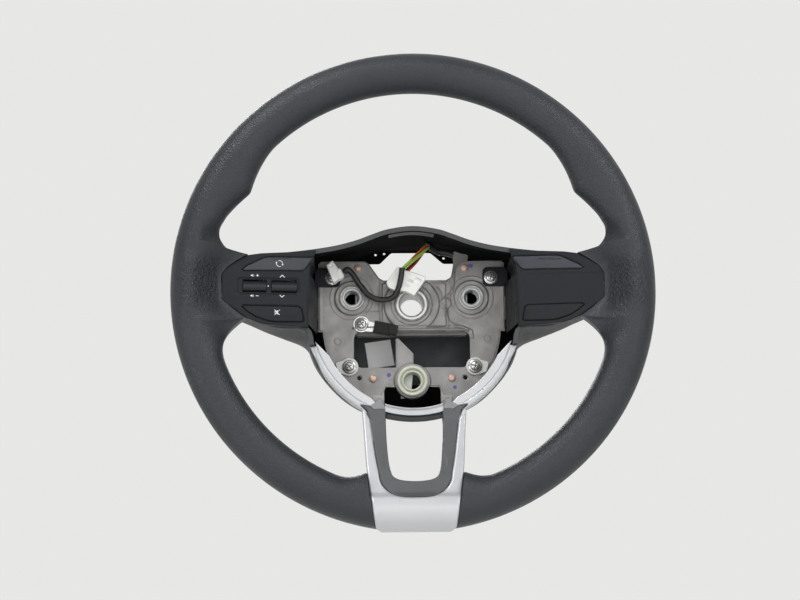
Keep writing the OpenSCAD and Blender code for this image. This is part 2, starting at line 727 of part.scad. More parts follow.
// Pod cover: front wall, side walls and the tall wall along the airbag opening.
// The plain one on the right has no rocker opening.
module bezel(rockers) {
    difference() {
        union() {
            difference() {
                intersection() {
                    plate_xz(-80, pod_back_y) pod_outline();
                    pod_slab(0, 25);
                }
                intersection() {
                    plate_xz(-80, pod_back_y + 1) offset(delta = -pod_wall) pod_outline();
                    pod_slab(pod_wall, 40);
                }
            }
            // Wall down to the hub plate
            prism_z(-24.6, 16) polygon([
                [80.6, pod_front_in + 1], [80.6 + pod_wall, pod_front_in + 1], [76.9, -2], [75, -2]
            ]);
            plate_xz(pod_front_in + 1, -2) intersection() {
                difference() {
                    pod_outline();
                    offset(delta = -pod_wall) pod_outline();
                }
                translate([60, 15]) square([22, 13.6]);
            }
            // Lug under the pod screw
            plate_xz(-2.6, -seat_gap) round_box_2d(57, 77, 14, 29.5, 4);
            intersection() {
                for (p = posts) rod_y(p[0], p[1], post_r, -70, board_y - seat_gap);
                pod_slab(pod_wall - 0.5, 30);
            }
            if (rockers) rocker_ears();
        }
        key_opening(top_button);
        key_opening(low_button);
        if (rockers) rocker_room();
        rod_y(pod_screw[0], pod_screw[1], screw_r + 0.3, -4, 1);
        // The casting's arm leaves the pod here
        side_arm(0.6);
    }
}

module on_rocker_line() {
    translate(rocker_at) rotate([0, 0, -rocker_tilt]) children();
}

// Ears that carry the rockers' trunnions, one of them between the two rockers
module rocker_ears() {
    intersection() {
        on_rocker_line() {
            ear(volume_span[1] + side_gap, volume_span[1] + side_gap + ear_t);
            ear(seek_span[1] + side_gap, volume_span[0] - side_gap);
            ear(seek_span[0] - side_gap - ear_t, seek_span[0] - side_gap);
        }
        pod_slab(0.6, 40);
    }
}

module ear(u0, u1) {
    prism_x(u0, u1) translate([-12, -2.8]) square([14.8, 5.6]);
}

module rocker_room() {
    r = rocker_r + side_gap;
    on_rocker_line() for (u = [volume_span, seek_span]) {
        prism_x(u[0] - side_gap, u[1] + side_gap) translate([-20, -r]) square([30, 2 * r]);
        prism_x(u[0] - side_gap - trunnion_len, u[1] + side_gap + trunnion_len) circle(trunnion_r + fit_gap);
    }
    // Shallow recess round both rockers
    intersection() {
        plate_xz(-80, -50) round_box_2d(px(86.8), px(134.2), -2.4, 10.2, 1.6);
        pod_slab(-2, 0.7);
    }
}

// Depth at which a rocker's feet end, just in front of the domes on the board
function foot_v(u) = (board_y - dome_top - 0.8 - rocker_at[1] + u * sin(rocker_tilt)) / cos(rocker_tilt);

module rocker(span, u) {
    on_rocker_line() {
        prism_x(span[0], span[1]) intersection() {
            circle(rocker_r);
            translate([-10, -10]) square([11.8, 20]);
        }
        prism_x(span[0] - trunnion_len, span[1] + trunnion_len) circle(trunnion_r);
        for (z = [-3, 3]) prism_x(u - 2, u + 2) translate([1, z - 0.9]) square([foot_v(u) - 1, 1.8]);
    }
}
function rocker_domes(u) = [for (z = [-3, 3]) [rocker_at[0] + u * cos(rocker_tilt), rocker_at[2] + z]];

// Button: a cap in the opening, a rim behind the cover's wall that keeps it in, and two stems
module button(outline, stems) {
    intersection() {
        plate_xz(-80, -40) offset(delta = -button_gap) polygon(outline);
        pod_slab(-0.5, pod_wall + 1.6);
    }
    intersection() {
        plate_xz(-80, -40) offset(delta = 0.9) polygon(outline);
        pod_slab(pod_wall + seat_gap + 0.1, pod_wall + 1.5);
        plate_xz(-80, -40) offset(delta = -pod_wall - 0.5) pod_outline();
    }
    intersection() {
        for (p = stems) rod_y(p[0], p[1], stem_r, -80, board_y - dome_top - button_travel - 0.1);
        pod_slab(pod_wall + 1, 40);
    }
}

board_pts = on_pod([[84.5, -20.4], [110, -18.9], [113, -8], [120.9, -7], [120.9, 22.6], [84.5, 26.5]]);
module board() {
    difference() {
        plate_xz(board_y, board_y + board_t) polygon(board_pts);
        plate_xz(board_y - 1, board_y + 3) translate([px(94), -5]) square([5, 3]);
    }
}

// Silicone mat with a dome under each stem
module keypad(domes) {
    plate_xz(board_y - 1.2, board_y - seat_gap / 2) difference() {
        offset(delta = -1) polygon(board_pts);
        for (p = posts) translate(p) circle(post_r + side_gap, $fn = 24);
    }
    for (p = domes) turned_y(p[0], p[1]) polygon([
        [0, board_y - 1], [2.8, board_y - 1], [2.4, board_y - dome_top + 0.8], [1.9, board_y - dome_top], [0, board_y - dome_top]
    ]);
}
// Tray that closes the switch behind its board
module switch_back() {
    difference() {
        plate_xz(board_y + board_t - 1.6, board_y + board_t + 2) offset(delta = 1.4) polygon(board_pts);
        plate_xz(board_y - 3, board_y + board_t + seat_gap / 2) offset(delta = 0.3) polygon(board_pts);
    }
}

module left_bezel() {
    color([0.13, 0.13, 0.14]) on_side(-1) bezel(true);
}
module right_bezel() {
    color([0.13, 0.13, 0.14]) on_side(1) bezel(false);
}
module left_switch_back() {
    color([0.1, 0.1, 0.1]) on_side(-1) switch_back();
}
module right_switch_back() {
    color([0.1, 0.1, 0.1]) on_side(1) switch_back();
}
module left_board() {
    color([0.1, 0.35, 0.2]) on_side(-1) board();
}
module right_board() {
    color([0.1, 0.35, 0.2]) on_side(1) board();
}
module left_keypad() {
    color([0.75, 0.75, 0.72]) on_side(-1)
        keypad(concat(top_stems, low_stems, rocker_domes(volume_foot), rocker_domes(seek_foot)));
}
module right_keypad() {
    color([0.75, 0.75, 0.72]) on_side(1) keypad(concat(top_stems, low_stems));
}
module mode_button() {
    color([0.22, 0.22, 0.24]) on_side(-1) button(top_button, top_stems);
}
module mute_button() {
    color([0.16, 0.16, 0.17]) on_side(-1) button(low_button, low_stems);
}
module trip_button() {
    color([0.22, 0.22, 0.24]) on_side(1) button(top_button, top_stems);
}
module reset_button() {
    color([0.16, 0.16, 0.17]) on_side(1) button(low_button, low_stems);
}
module volume_rocker() {
    color([0.12, 0.12, 0.13]) on_side(-1) rocker(volume_span, volume_foot);
}
module seek_rocker() {
    color([0.12, 0.12, 0.13]) on_side(-1) rocker(seek_span, seek_foot);
}

// Bushes in the three airbag seats, each with a flange on its boss
module seat_bush(x, z, bore_r, hole_r) {
    turned_y(x, z) polygon([
        [bore_r + 0.8, -3.4], [hole_r + 0.6, -3.4], [hole_r + 2, -2.8], [hole_r + 2, -1.5 - fit_gap],
        [hole_r, -1.5 - fit_gap], [hole_r, plate_t + 5], [bore_r, plate_t + 5], [bore_r, -2.6]
    ]);
}
module left_seat_bush() {
    color([0.72, 0.73, 0.72]) seat_bush(-seat_x, seat_z, seat_bore_r, seat_hole_r);
}
module right_seat_bush() {
    color([0.72, 0.73, 0.72]) seat_bush(seat_x, seat_z, seat_bore_r, seat_hole_r);
}
module lower_seat_bush() {
    color([0.75, 0.76, 0.66]) seat_bush(0, -seat_low_z, seat_low_bore_r, low_hole_r);
}

// Spring wires that catch the airbag's pins behind the seats
snap_r = 1.1;
snap_y = plate_t + 5 + snap_r + fit_gap;
module snap_wire(x, z, half, bend) {
    rotate_to_x = bend;
    translate([x, snap_y, z]) {
        translate([0, 0, -half]) cylinder(h = 2 * half, r = snap_r, $fn = 24);
        for (s = [-1, 1]) translate([0, 0, s * half]) {
            sphere(snap_r, $fn = 24);
            rotate([0, rotate_to_x * 90, 0]) cylinder(h = 9, r = snap_r, $fn = 24);
        }
    }
}
module left_snap_wire() {
    color([0.7, 0.7, 0.7]) snap_wire(-seat_x + 3.4, seat_z, 13.5, 1);
}
module right_snap_wire() {
    color([0.7, 0.7, 0.7]) snap_wire(seat_x - 3.4, seat_z, 13.5, -1);
}
module lower_clip() {
    color([0.7, 0.7, 0.7]) plate_xz(plate_t + 5 + fit_gap, plate_t + 6)
        polygon([[-9, -seat_low_z - 12.5], [-1.2, -seat_low_z - 12.5], [1.2, -seat_low_z + 12.5], [-9, -seat_low_z + 12.5]]);
}

module contact_rivets() {
    color([0.75, 0.45, 0.33]) for (x = [-1, 1], p = rivets) turned_y(x * p[0], p[1]) polygon([
        [0, -1.6], [1.6, -1.4], [2.7, -0.4], [2.7, -fit_gap], [1.6, -fit_gap], [1.6, plate_t], [0, plate_t]
    ]);
}

// Pan-head screw with its washer, on a face at depth y
module screw(at, y) {
    turned_y(at[0], at[1]) polygon([
        [0, y - 3.4], [2.2, y - 3.3], [screw_head_r - 0.5, y - 2.6], [screw_head_r, y - 1.8],
        [screw_head_r, y - 1], [screw_head_r + 1.6, y - 1], [screw_head_r + 1.6, y], [screw_r, y],
        [screw_r, 12], [screw_r - 1, 13.5], [0, 13.5]
    ]);
}
module pod_screws() {
    color([0.85, 0.85, 0.85]) for (x = [-1, 1]) screw([x * pod_screw[0], pod_screw[1]], -2.6 - fit_gap);
}
module trim_screws() {
    color([0.85, 0.85, 0.85]) for (x = [-1, 1]) screw([x * trim_screw[0], trim_screw[1]], -2.2 - fit_gap);
}

// Earth tab under its own screw, with the connector that plugs on it
tab_t = 0.8;
module ground_screw() {
    color([0.85, 0.85, 0.85]) screw(ground_at, -tab_t - 2 * fit_gap);
}
module ground_tab() {
    color([0.75, 0.76, 0.78]) difference() {
        union() {
            rod_y(ground_at[0], ground_at[1], 6.4, -tab_t - fit_gap, -fit_gap);
            plate_xz(-tab_t - fit_gap, -fit_gap) polygon([[-36, -13], [-24, -16.5], [-25.6, -23], [-38, -21.6]]);
        }
        rod_y(ground_at[0], ground_at[1], screw_r + 0.2, -3, 2);
    }
}
module ground_connector() {
    color([0.08, 0.09, 0.09]) translate([-21.5, -4.4, -20.4]) rotate([0, 12, 0]) difference() {
        union() {
            translate([-9, -3, -4.6]) cube([14, 6.4, 9.2]);
            translate([3, -4.2, -3.6]) cube([7, 7.6, 7.6]);
        }
        translate([-10, 2.4, -4]) cube([9.5, 2, 8]);
    }
}

// Plug of the left switch lead, lying over the corner of the hub plate
plug_y = -6.6;
module left_plug() {
    color([0.9, 0.9, 0.88]) translate([-61.2, plug_y, 26.6]) rotate([0, 13, 0]) difference() {
        union() {
            translate([-6, -9, -9]) cube([12, 9, 18]);
            translate([-4.4, -10.4, -7]) cube([8.8, 2, 11]);
            translate([-7, -7, -9.5]) cube([2, 5, 8]);
        }
        translate([-4.6, -7.4, 7]) cube([9.2, 5.4, 3]);
    }
}

// Route of the black sheathed lead, from the left plug across the hub to the centre connectors
lead_route = [
    [-53.3, -10, 24.6], [-51.3, -9.6, 27], [-47.5, -9, 24], [-42, -8.5, 15.5], [-36, -8.5, 7.5], [-28, -8.5, 3],
    [-20, -9, 2.4], [-14, -11.4, 4.8], [-10.5, -14.6, 11], [-8.6, -16, 19], [-7.6, -16.4, 26.5]
];
module lead_sheath() {
    color([0.06, 0.06, 0.07]) tube(open_curve(lead_route, 2), sheath_r, 10, [0, 1, 0]);
}

module centre_plug() {
    color([0.86, 0.86, 0.84]) translate([-13.2, -5.4, 22.4]) rotate([0, 20, 0]) difference() {
        union() {
            translate([-5, -7, -10]) cube([10.5, 7, 19]);
            translate([-3.6, -8.4, -6]) cube([6.6, 2, 12]);
        }
        translate([-3.4, -5.4, 7]) cube([7, 4, 3]);
    }
}
socket_y = -4.6;
module centre_socket() {
    color([0.74, 0.75, 0.74]) translate([3, socket_y, 19.4]) rotate([0, 24, 0]) difference() {
        union() {
            translate([-7.6, -8, -10]) cube([15, 8, 21]);
            // Foot that rests on the hub's ring
            translate([-4, -0.5, -5]) cube([7, 0.5 - socket_y - side_gap, 4]);
            translate([7.2, -6.6, -7]) cube([3, 5, 13]);
            translate([-4, -9.4, -8]) cube([8, 2, 9]);
        }
        translate([-5.6, -6.2, 9]) cube([11, 4.4, 3]);
    }
}

// The coloured wires run as a bundle of four, from the socket up into the cover and across to the
// taped bundle. Each wire has a place (a, b) in the bundle, counted in steps.
wire_ends = [33.5, 12, 43];
wire_route = open_curve([
    [6.4, -8.7, 28.6], [7.8, -8.2, 32], [10.2, -6, 36], [12.6, -1, 40.5], [16, 6, 43.6], [21.5, 11, 44.6],
    [27.5, 12.4, 44], wire_ends
], 2);
wire_ref = [-0.6, 0.1, 0.8];
module wire(a, b) {
    step = 2 * wire_r + 0.3;
    curve = [
        for (i = [0 : len(wire_route) - 1])
            let (spread = step * (1 + 0.35 * sin(180 * i / (len(wire_route) - 1))))
                beside(wire_route, i, a * spread, b * spread, wire_ref)
    ];
    tube(curve, wire_r, 8, wire_ref);
}
module orange_wire() {
    color([0.85, 0.4, 0.15]) wire(-0.5, -0.5);
}
module green_wire() {
    color([0.5, 0.65, 0.25]) wire(0.5, -0.5);
}
module red_wire() {
    color([0.7, 0.15, 0.2]) wire(-0.5, 0.5);
}
module black_wire() {
    color([0.08, 0.08, 0.08]) wire(0.5, 0.5);
}

// Flat bundle of wires in cloth tape, which goes down behind the hub plate
module harness_tape() {
    color([0.5, 0.5, 0.49]) plate_xz(wire_ends[1] - 2.4, wire_ends[1] + 2.4)
        translate([wire_ends[0], wire_ends[2]]) polygon(loop_curve([
            [0.9, 1.2], [7, -0.2], [12.5, -1.8], [10.9, -9], [8.5, -17.5], [7.5, -21.5], [-1.5, -21.5],
            [-0.7, -16], [0.7, -7]
        ], 3));
}

armature();
rim_core();
hub_bushing();
rim_foam();
rear_cover();
lower_spoke_cover();
spoke_trim();
spoke_insert();
left_bezel();
right_bezel();
left_switch_back();
right_switch_back();
left_board();
right_board();
left_keypad();
right_keypad();
mode_button();
mute_button();
trip_button();
reset_button();
volume_rocker();
seek_rocker();
left_seat_bush();
right_seat_bush();
lower_seat_bush();
left_snap_wire();
right_snap_wire();
lower_clip();
contact_rivets();
pod_screws();
trim_screws();
ground_screw();
ground_tab();
ground_connector();
left_plug();
lead_sheath();
centre_plug();
centre_socket();
orange_wire();
green_wire();
red_wire();
black_wire();
harness_tape();
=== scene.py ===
import bpy, bmesh
import numpy as np
from functools import reduce
from math import acos, asin, cos, exp, pi, radians, sin, tan
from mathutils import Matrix, Quaternion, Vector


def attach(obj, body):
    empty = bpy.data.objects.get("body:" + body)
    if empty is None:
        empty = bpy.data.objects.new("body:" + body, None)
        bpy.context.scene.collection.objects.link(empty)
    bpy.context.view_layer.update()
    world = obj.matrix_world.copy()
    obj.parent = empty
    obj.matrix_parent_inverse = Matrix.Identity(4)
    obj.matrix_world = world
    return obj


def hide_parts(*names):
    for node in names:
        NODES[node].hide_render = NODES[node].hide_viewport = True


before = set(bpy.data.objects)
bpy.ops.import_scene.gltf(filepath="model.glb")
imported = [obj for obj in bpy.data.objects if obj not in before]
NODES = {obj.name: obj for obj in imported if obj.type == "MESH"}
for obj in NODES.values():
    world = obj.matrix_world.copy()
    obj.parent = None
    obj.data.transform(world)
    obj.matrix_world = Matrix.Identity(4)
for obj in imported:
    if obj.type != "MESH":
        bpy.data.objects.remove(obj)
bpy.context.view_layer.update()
SIDES = ((-1, "left"), (1, "right"))
scene = bpy.context.scene
MM = 0.001


def node(tree, kind, inputs=(), **settings):
    """A shader node. inputs gives a value or another node's output for each socket, by name or number."""
    x = tree.nodes.new("ShaderNode" + kind)
    for key, value in settings.items():
        setattr(x, key, value)
    for key, value in dict(inputs).items():
        if isinstance(value, bpy.types.NodeSocket):
            tree.links.new(value, x.inputs[key])
        else:
            x.inputs[key].default_value = value
    return x


# ---- camera and light

FRAME_W, FRAME_H = 800, 600  # pixels
SENSOR, LENS = 36, 88.51  # mm
DISTANCE = 1.5  # metres from the middle of the rim
AXIS_X, AXIS_Y = -13.503, 288.047  # the lens axis: pixels right of the middle, and pixel row
target = Vector((0, -0.074, 0))
elevation, azimuth, roll = (radians(a) for a in (-10.1, -1.27, -0.6))
level = cos(elevation)
back = Vector((sin(azimuth) * level, -cos(azimuth) * level, sin(elevation)))
camera = bpy.data.objects.new("camera", bpy.data.cameras.new("camera"))
scene.collection.objects.link(camera)
camera.location = target + DISTANCE * back
camera.rotation_mode = "QUATERNION"
camera.rotation_quaternion = (-back).to_track_quat("-Z", "Y") @ Quaternion((0, 0, 1), roll)
camera.data.sensor_width = SENSOR
camera.data.lens = LENS
camera.data.shift_x = AXIS_X / FRAME_W
camera.data.shift_y = (AXIS_Y - FRAME_H / 2) / FRAME_W
camera.data.clip_start = 0.01
scene.camera = camera
scene.view_settings.view_transform = "Standard"
scene.view_settings.look = "None"

# the room is darker in front of the object than behind it
world = bpy.data.worlds.new("studio")
world.use_nodes = True
scene.world = world
sky = world.node_tree
toward = node(sky, "SeparateXYZ", {0: node(sky, "TexCoord").outputs["Generated"]}).outputs["Y"]
fade = node(sky, "MapRange", {"From Min": -0.5, "From Max": 0.55, "Value": toward},
    interpolation_type="SMOOTHSTEP")
tint = node(sky, "Mix", {0: fade.outputs["Result"], 6: (0.27, 0.275, 0.285, 1), 7: (0.80, 0.805, 0.79, 1)},
    data_type="RGBA")
sky.links.new(tint.outputs[2], sky.nodes["Background"].inputs["Color"])
sky.nodes["Background"].inputs["Strength"].default_value = 1.0


def area_light(name, place, energy, size, aim=(0, -0.05, 0)):
    light = bpy.data.lights.new(name, "AREA")
    light.energy, light.size = energy, size
    o = bpy.data.objects.new(name, light)
    scene.collection.objects.link(o)
    o.location = place
    o.rotation_mode = "QUATERNION"
    o.rotation_quaternion = (Vector(aim) - Vector(place)).to_track_quat("-Z", "Y")


area_light("key_left", (-0.8, -1.1, 1.5), 25, 0.5)
area_light("key_right", (1.1, -1.2, 1.0), 14, 0.5)
area_light("front_fill", (0.1, -1.9, 0.25), 14, 1.5)
area_light("low_left", (-1.4, -1.1, -0.2), 7, 0.6)
area_light("low_right", (1.4, -1.1, -0.2), 4, 0.6)
area_light("back_fill", (-0.5, 1.8, 1.0), 16, 1.0)


def at_pixel(px, py, y):
    """Point in mm on the camera's line through a pixel of the frame, at depth y in mm."""
    k = SENSOR / LENS
    ray = camera.rotation_quaternion @ Vector((((px - FRAME_W / 2) / FRAME_W + camera.data.shift_x) * k,
        ((FRAME_H / 2 - py) / FRAME_W + camera.data.shift_y) * k, -1))
    t = (y * MM - camera.location.y) / ray.y
    p = camera.location + t * ray
    return np.array([p.x, p.y, p.z]) * 1000


def on_plane(corners, y):
    """Front-view points (x, z) for pixels, at depth y in mm."""
    return np.array([at_pixel(px, py, y)[[0, 2]] for px, py in corners])


# ---- materials

FINE = 0.0002  # depth of a grain in metres where none is given


def hand_patches(t, place):
    """1 at nine and three o'clock, where the hands rest, and 0 elsewhere."""
    def calc(operation, *values):
        return node(t, "Math", dict(enumerate(values)), operation=operation).outputs[0]

    def window(value, centre, half, soft):
        off = calc("ABSOLUTE", calc("SUBTRACT", value, centre))
        return node(t, "MapRange", {"From Min": half, "From Max": half + soft, "To Min": 1, "To Max": 0,
            "Value": off}, interpolation_type="SMOOTHSTEP").outputs["Result"]

    at = node(t, "SeparateXYZ", {0: place}).outputs
    return calc("MULTIPLY", window(at["Z"], 0.0025, 0.011, 0.016),
        window(calc("ABSOLUTE", at["X"]), 0.163, 0.008, 0.008))


def material(name, color, rough=0.5, metallic=0.0, spec=0.5, vary=0.08, spots=40.0, grain=None, pits=None,
        patch=None, bevel=0.0003, coat=0.0, sheen=0.0, rough_vary=0.08, dirt=None):
    """Plastic, metal or leather from noise in object space.

    grain, pits and patch (a grain where the hands rest) are (scale, strength, depth in metres), and dirt is
    (color, scale, share). vary is the color's own share of change, and spots is the scale of that change.
    """
    m = bpy.data.materials.new(name)
    m.use_nodes = True
    t = m.node_tree
    bsdf = t.nodes["Principled BSDF"].inputs
    place = node(t, "TexCoord").outputs["Object"]

    def noise(scale, detail=4.0, roughness=0.55):
        return node(t, "TexNoise",
            {"Scale": scale, "Detail": detail, "Roughness": roughness, "Vector": place}).outputs["Fac"]

    def remap(value, a, b, lo=0.3, hi=0.7):
        return node(t, "MapRange",
            {"From Min": lo, "From Max": hi, "To Min": a, "To Max": b, "Value": value}).outputs["Result"]

    def mix(share, a, b):
        return node(t, "Mix", {0: share, 6: a, 7: b}, data_type="RGBA").outputs[2]

    dark = [c * (1 - vary) for c in color]
    light = [min(1, c * (1 + vary)) for c in color]
    out = mix(remap(noise(spots), 0, 1), (*dark, 1), (*light, 1))
    if dirt:
        out = mix(remap(noise(dirt[1], 6, 0.65), 0, dirt[2], 0.52, 0.78), out, (*dirt[0], 1))
    t.links.new(out, bsdf["Base Color"])
    t.links.new(remap(noise(spots * 3.1), rough - rough_vary, rough + rough_vary), bsdf["Roughness"])
    for socket, value in (("Metallic", metallic), ("Specular IOR Level", spec), ("Coat Weight", coat),
            ("Sheen Weight", sheen)):
        bsdf[socket].default_value = value
    normal = node(t, "Bevel", {"Radius": bevel}, samples=4).outputs["Normal"] if bevel else None
    for kind, setting in (("pits", pits), ("grain", grain), ("patch", patch)):
        if not setting:
            continue
        scale, strength, depth = (*setting, FINE)[:3]
        height = noise(scale, 3.0)
        if kind == "pits":
            cells = node(t, "TexVoronoi", {"Scale": scale, "Randomness": 0.9, "Vector": place})
            height = cells.outputs["Distance"]
        if kind == "patch":
            height = node(t, "Math", {0: height, 1: hand_patches(t, place)}, operation="MULTIPLY").outputs[0]
        bump = node(t, "Bump", {"Strength": strength, "Distance": depth, "Height": height})
        if normal:
            t.links.new(normal, bump.inputs["Normal"])
        normal = bump.outputs["Normal"]
    if normal:
        t.links.new(normal, bsdf["Normal"])
    return m


grip_mat = material("grip_leather", (0.0215, 0.0235, 0.0275), 0.41, vary=0.12, spots=18, spec=0.27,
    pits=(800, 0.55, 0.0005), grain=(560, 0.35, 0.0006), patch=(400, 1.0, 0.0024), bevel=0, rough_vary=0.05)
cover_mat = material("cover_grey", (0.037, 0.0385, 0.0395), 0.5, spec=0.3, vary=0.06, pits=(1500, 0.2),
    bevel=0.0006)
# a darker copy of the cover grey: painted shade for the strip under the middle bar and the lower spoke cover
shaded_cover_mat = material("cover_painted_shade", (0.013, 0.014, 0.015), 0.55, spec=0.35, vary=0.1, pits=(1400, 0.2))
pod_mat = material("pod_black", (0.0088, 0.0097, 0.0118), 0.42, spec=0.16, vary=0.07, spots=30,
    pits=(1900, 0.12), bevel=0.0005)
button_mat = material("button_grey", (0.031, 0.0335, 0.040), 0.40, spec=0.24, vary=0.05, pits=(2100, 0.1),
    bevel=0.0004)
button_low_mat = material("button_black", (0.0098, 0.0104, 0.0124), 0.42, spec=0.16, vary=0.06,
    pits=(2100, 0.1), bevel=0.0004)
rocker_mat = material("rocker_black", (0.008, 0.0085, 0.0105), 0.32, spec=0.3, vary=0.08, grain=(900, 0.1))
# a darker, duller copy of the pod black: painted shade for the floor of the gaps round the buttons
gap_shade_mat = material("gap_painted_shade", (0.004, 0.004, 0.005), 0.7, vary=0.2)
trim_mat = material("silver_paint", (0.385, 0.39, 0.40), 0.40, metallic=0.25, vary=0.03, spots=25,
    grain=(2600, 0.06), coat=0.15, rough_vary=0.04)
insert_mat = material("insert_grey", (0.062, 0.064, 0.067), 0.42, spec=0.35, vary=0.04, pits=(2000, 0.1),
    bevel=0.0004)
cast_mat = material("cast_alloy", (0.27, 0.265, 0.257), 0.5, metallic=0.3, vary=0.16, spots=55,
    rough_vary=0.12, grain=(700, 0.3, 0.0004), pits=(260, 0.1, 0.0008), bevel=0.0007,
    dirt=((0.13, 0.13, 0.12), 34, 0.45))
face_mat = material("cast_face", (0.225, 0.219, 0.214), 0.46, metallic=0.35, vary=0.2, spots=34,
    rough_vary=0.14, grain=(900, 0.25, 0.0003), bevel=0, dirt=((0.14, 0.14, 0.13), 30, 0.4))
turned_mat = material("turned_steel", (0.50, 0.50, 0.485), 0.36, metallic=0.6, vary=0.1, grain=(500, 0.15))
zinc_mat = material("zinc_steel", (0.56, 0.56, 0.55), 0.3, metallic=0.75, vary=0.12, spots=200,
    grain=(900, 0.12))
spring_mat = material("spring_steel", (0.40, 0.41, 0.39), 0.42, metallic=0.6, vary=0.12, grain=(700, 0.1))
copper_mat = material("copper", (0.52, 0.36, 0.30), 0.45, metallic=0.4, vary=0.15, spots=300,
    grain=(900, 0.2))
seat_mat = material("seat_metal", (0.40, 0.41, 0.40), 0.36, metallic=0.6, vary=0.1, spots=80,
    grain=(700, 0.12))
low_seat_mat = material("seat_plastic", (0.50, 0.51, 0.42), 0.42, vary=0.06, spots=60, grain=(700, 0.1))
white_mat = material("plug_white", (0.80, 0.80, 0.77), 0.4, vary=0.04, spots=120, grain=(800, 0.08),
    bevel=0.0005)
grey_plug_mat = material("plug_grey", (0.56, 0.56, 0.54), 0.42, vary=0.06, spots=120, grain=(800, 0.1),
    bevel=0.0005)
black_mat = material("plain_black", (0.007, 0.007, 0.008), 0.5, spec=0.2, vary=0.1, grain=(900, 0.1),
    bevel=0.0004)
sleeve_mat = material("sleeve_black", (0.014, 0.014, 0.015), 0.5, vary=0.15, grain=(1500, 0.35, 0.0003),
    bevel=0)
board_mat = material("circuit_green", (0.02, 0.09, 0.045), 0.35, vary=0.12, spots=300)
silicone_mat = material("silicone", (0.5, 0.5, 0.47), 0.5, vary=0.05)
orange_mat = material("wire_orange", (0.78, 0.20, 0.05), 0.36, vary=0.08, grain=(500, 0.1), bevel=0)
green_mat = material("wire_green", (0.36, 0.48, 0.09), 0.36, vary=0.08, grain=(500, 0.1), bevel=0)
red_mat = material("wire_red", (0.5, 0.03, 0.07), 0.36, vary=0.08, grain=(500, 0.1), bevel=0)
label_mat = material("label_paper", (0.97, 0.97, 0.96), 0.5, vary=0.02, grain=(900, 0.05, 0.0001), bevel=0)
icon_mat = material("icon_white", (0.62, 0.63, 0.64), 0.5, vary=0.03, bevel=0)
blue_mat = material("blue_paint", (0.06, 0.07, 0.25), 0.5, vary=0.3, spots=900, bevel=0)
# a much darker, duller copy of the cover grey: painted shade on the inner faces of the rear cover
inside_shade_mat = material("cover_inside", (0.0075, 0.008, 0.0082), 0.9, spec=0.02, vary=0.2, spots=30,
    pits=(1200, 0.2, 0.0003), bevel=0)
strip_mat = material("lighter_strip", (0.050, 0.052, 0.050), 0.55, vary=0.15, spots=400, bevel=0)
floor_mat = material("inner_grey", (0.036, 0.040, 0.045), 0.5, spec=0.3, vary=0.12, spots=28,
    grain=(500, 0.1, 0.0003), bevel=0)
# a mid-grey copy of the silver paint: painted shade on the ends of the arc's inner band by the bar
shaded_silver_mat = material("silver_painted_shade", (0.16, 0.163, 0.166), 0.45, metallic=0.2, vary=0.08, grain=(900, 0.15, 0.0003))
# a much darker copy of the zinc: painted shade in the screws' cross recesses
recess_shade_mat = material("screw_recess_painted_shade", (0.10, 0.10, 0.10), 0.45, metallic=0.8, vary=0.2, spots=300, bevel=0)


def weave_material():
    m = material("cloth_tape", (0.27, 0.27, 0.26), 0.75, vary=0.1, spots=60, sheen=0.2, bevel=0)
    t = m.node_tree
    place = node(t, "TexCoord").outputs["Object"]
    threads = [node(t, "TexWave", {"Scale": 520, "Distortion": 1.2, "Vector": place}, bands_direction=axis)
        for axis in ("X", "Z")]
    height = node(t, "Math", {i: thread.outputs["Fac"] for i, thread in enumerate(threads)}).outputs[0]
    bump = node(t, "Bump", {"Strength": 0.6, "Distance": 0.0004, "Height": height})
    t.links.new(bump.outputs["Normal"], t.nodes["Principled BSDF"].inputs["Normal"])
    return m


tape_mat = weave_material()


# ---- mesh helpers

def paint(o, *mats):
    o.data.materials.clear()
    for m in mats:
        o.data.materials.append(m)
    return o


def raw_mesh(name, verts, faces, mat, merge=None):
    """A mesh object from points in mm, with its normals outwards."""
    me = bpy.data.meshes.new(name)
    me.from_pydata([tuple(float(c) * MM for c in v) for v in verts], [],
        [tuple(int(i) for i in f) for f in faces])
    bm = bmesh.new()
    bm.from_mesh(me)
    if merge:
        bmesh.ops.remove_doubles(bm, verts=bm.verts, dist=merge * MM)
    bmesh.ops.recalc_face_normals(bm, faces=bm.faces)
    bm.to_mesh(me)
    bm.free()
    me.validate()
    o = bpy.data.objects.new(name, me)
    scene.collection.objects.link(o)
    return paint(o, mat)


def finish_piece(o, body="wheel", slot=None, replaces=(), angle=35):
    """Smooth shading below the angle in degrees, and the piece's body and replaced nodes. slot is not used.
    """
    bm = bmesh.new()
    bm.from_mesh(o.data)
    for f in bm.faces:
        f.smooth = True
    for e in bm.edges:
        e.smooth = len(e.link_faces) == 2 and e.calc_face_angle(0) < radians(angle)
    bm.to_mesh(o.data)
    bm.free()
    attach(o, body)
    if replaces:
        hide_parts(*replaces)
    return o


def mesh_piece(name, verts, faces, mat, merge=None, **kw):
    return finish_piece(raw_mesh(name, verts, faces, mat, merge), **kw)


def cut(o, cutter, kind="DIFFERENCE"):
    """Boolean with a helper object, which is then removed. Cut faces take the cutter's material."""
    m = o.modifiers.new("cut", "BOOLEAN")
    m.operation, m.solver, m.object, m.material_mode = kind, "EXACT", cutter, "TRANSFER"
    deps = bpy.context.evaluated_depsgraph_get()
    me = bpy.data.meshes.new_from_object(o.evaluated_get(deps), depsgraph=deps)
    o.modifiers.remove(m)
    old, o.data = o.data, me
    for unused in (old, cutter.data):  # the helper object goes with its mesh
        bpy.data.meshes.remove(unused)
    return o


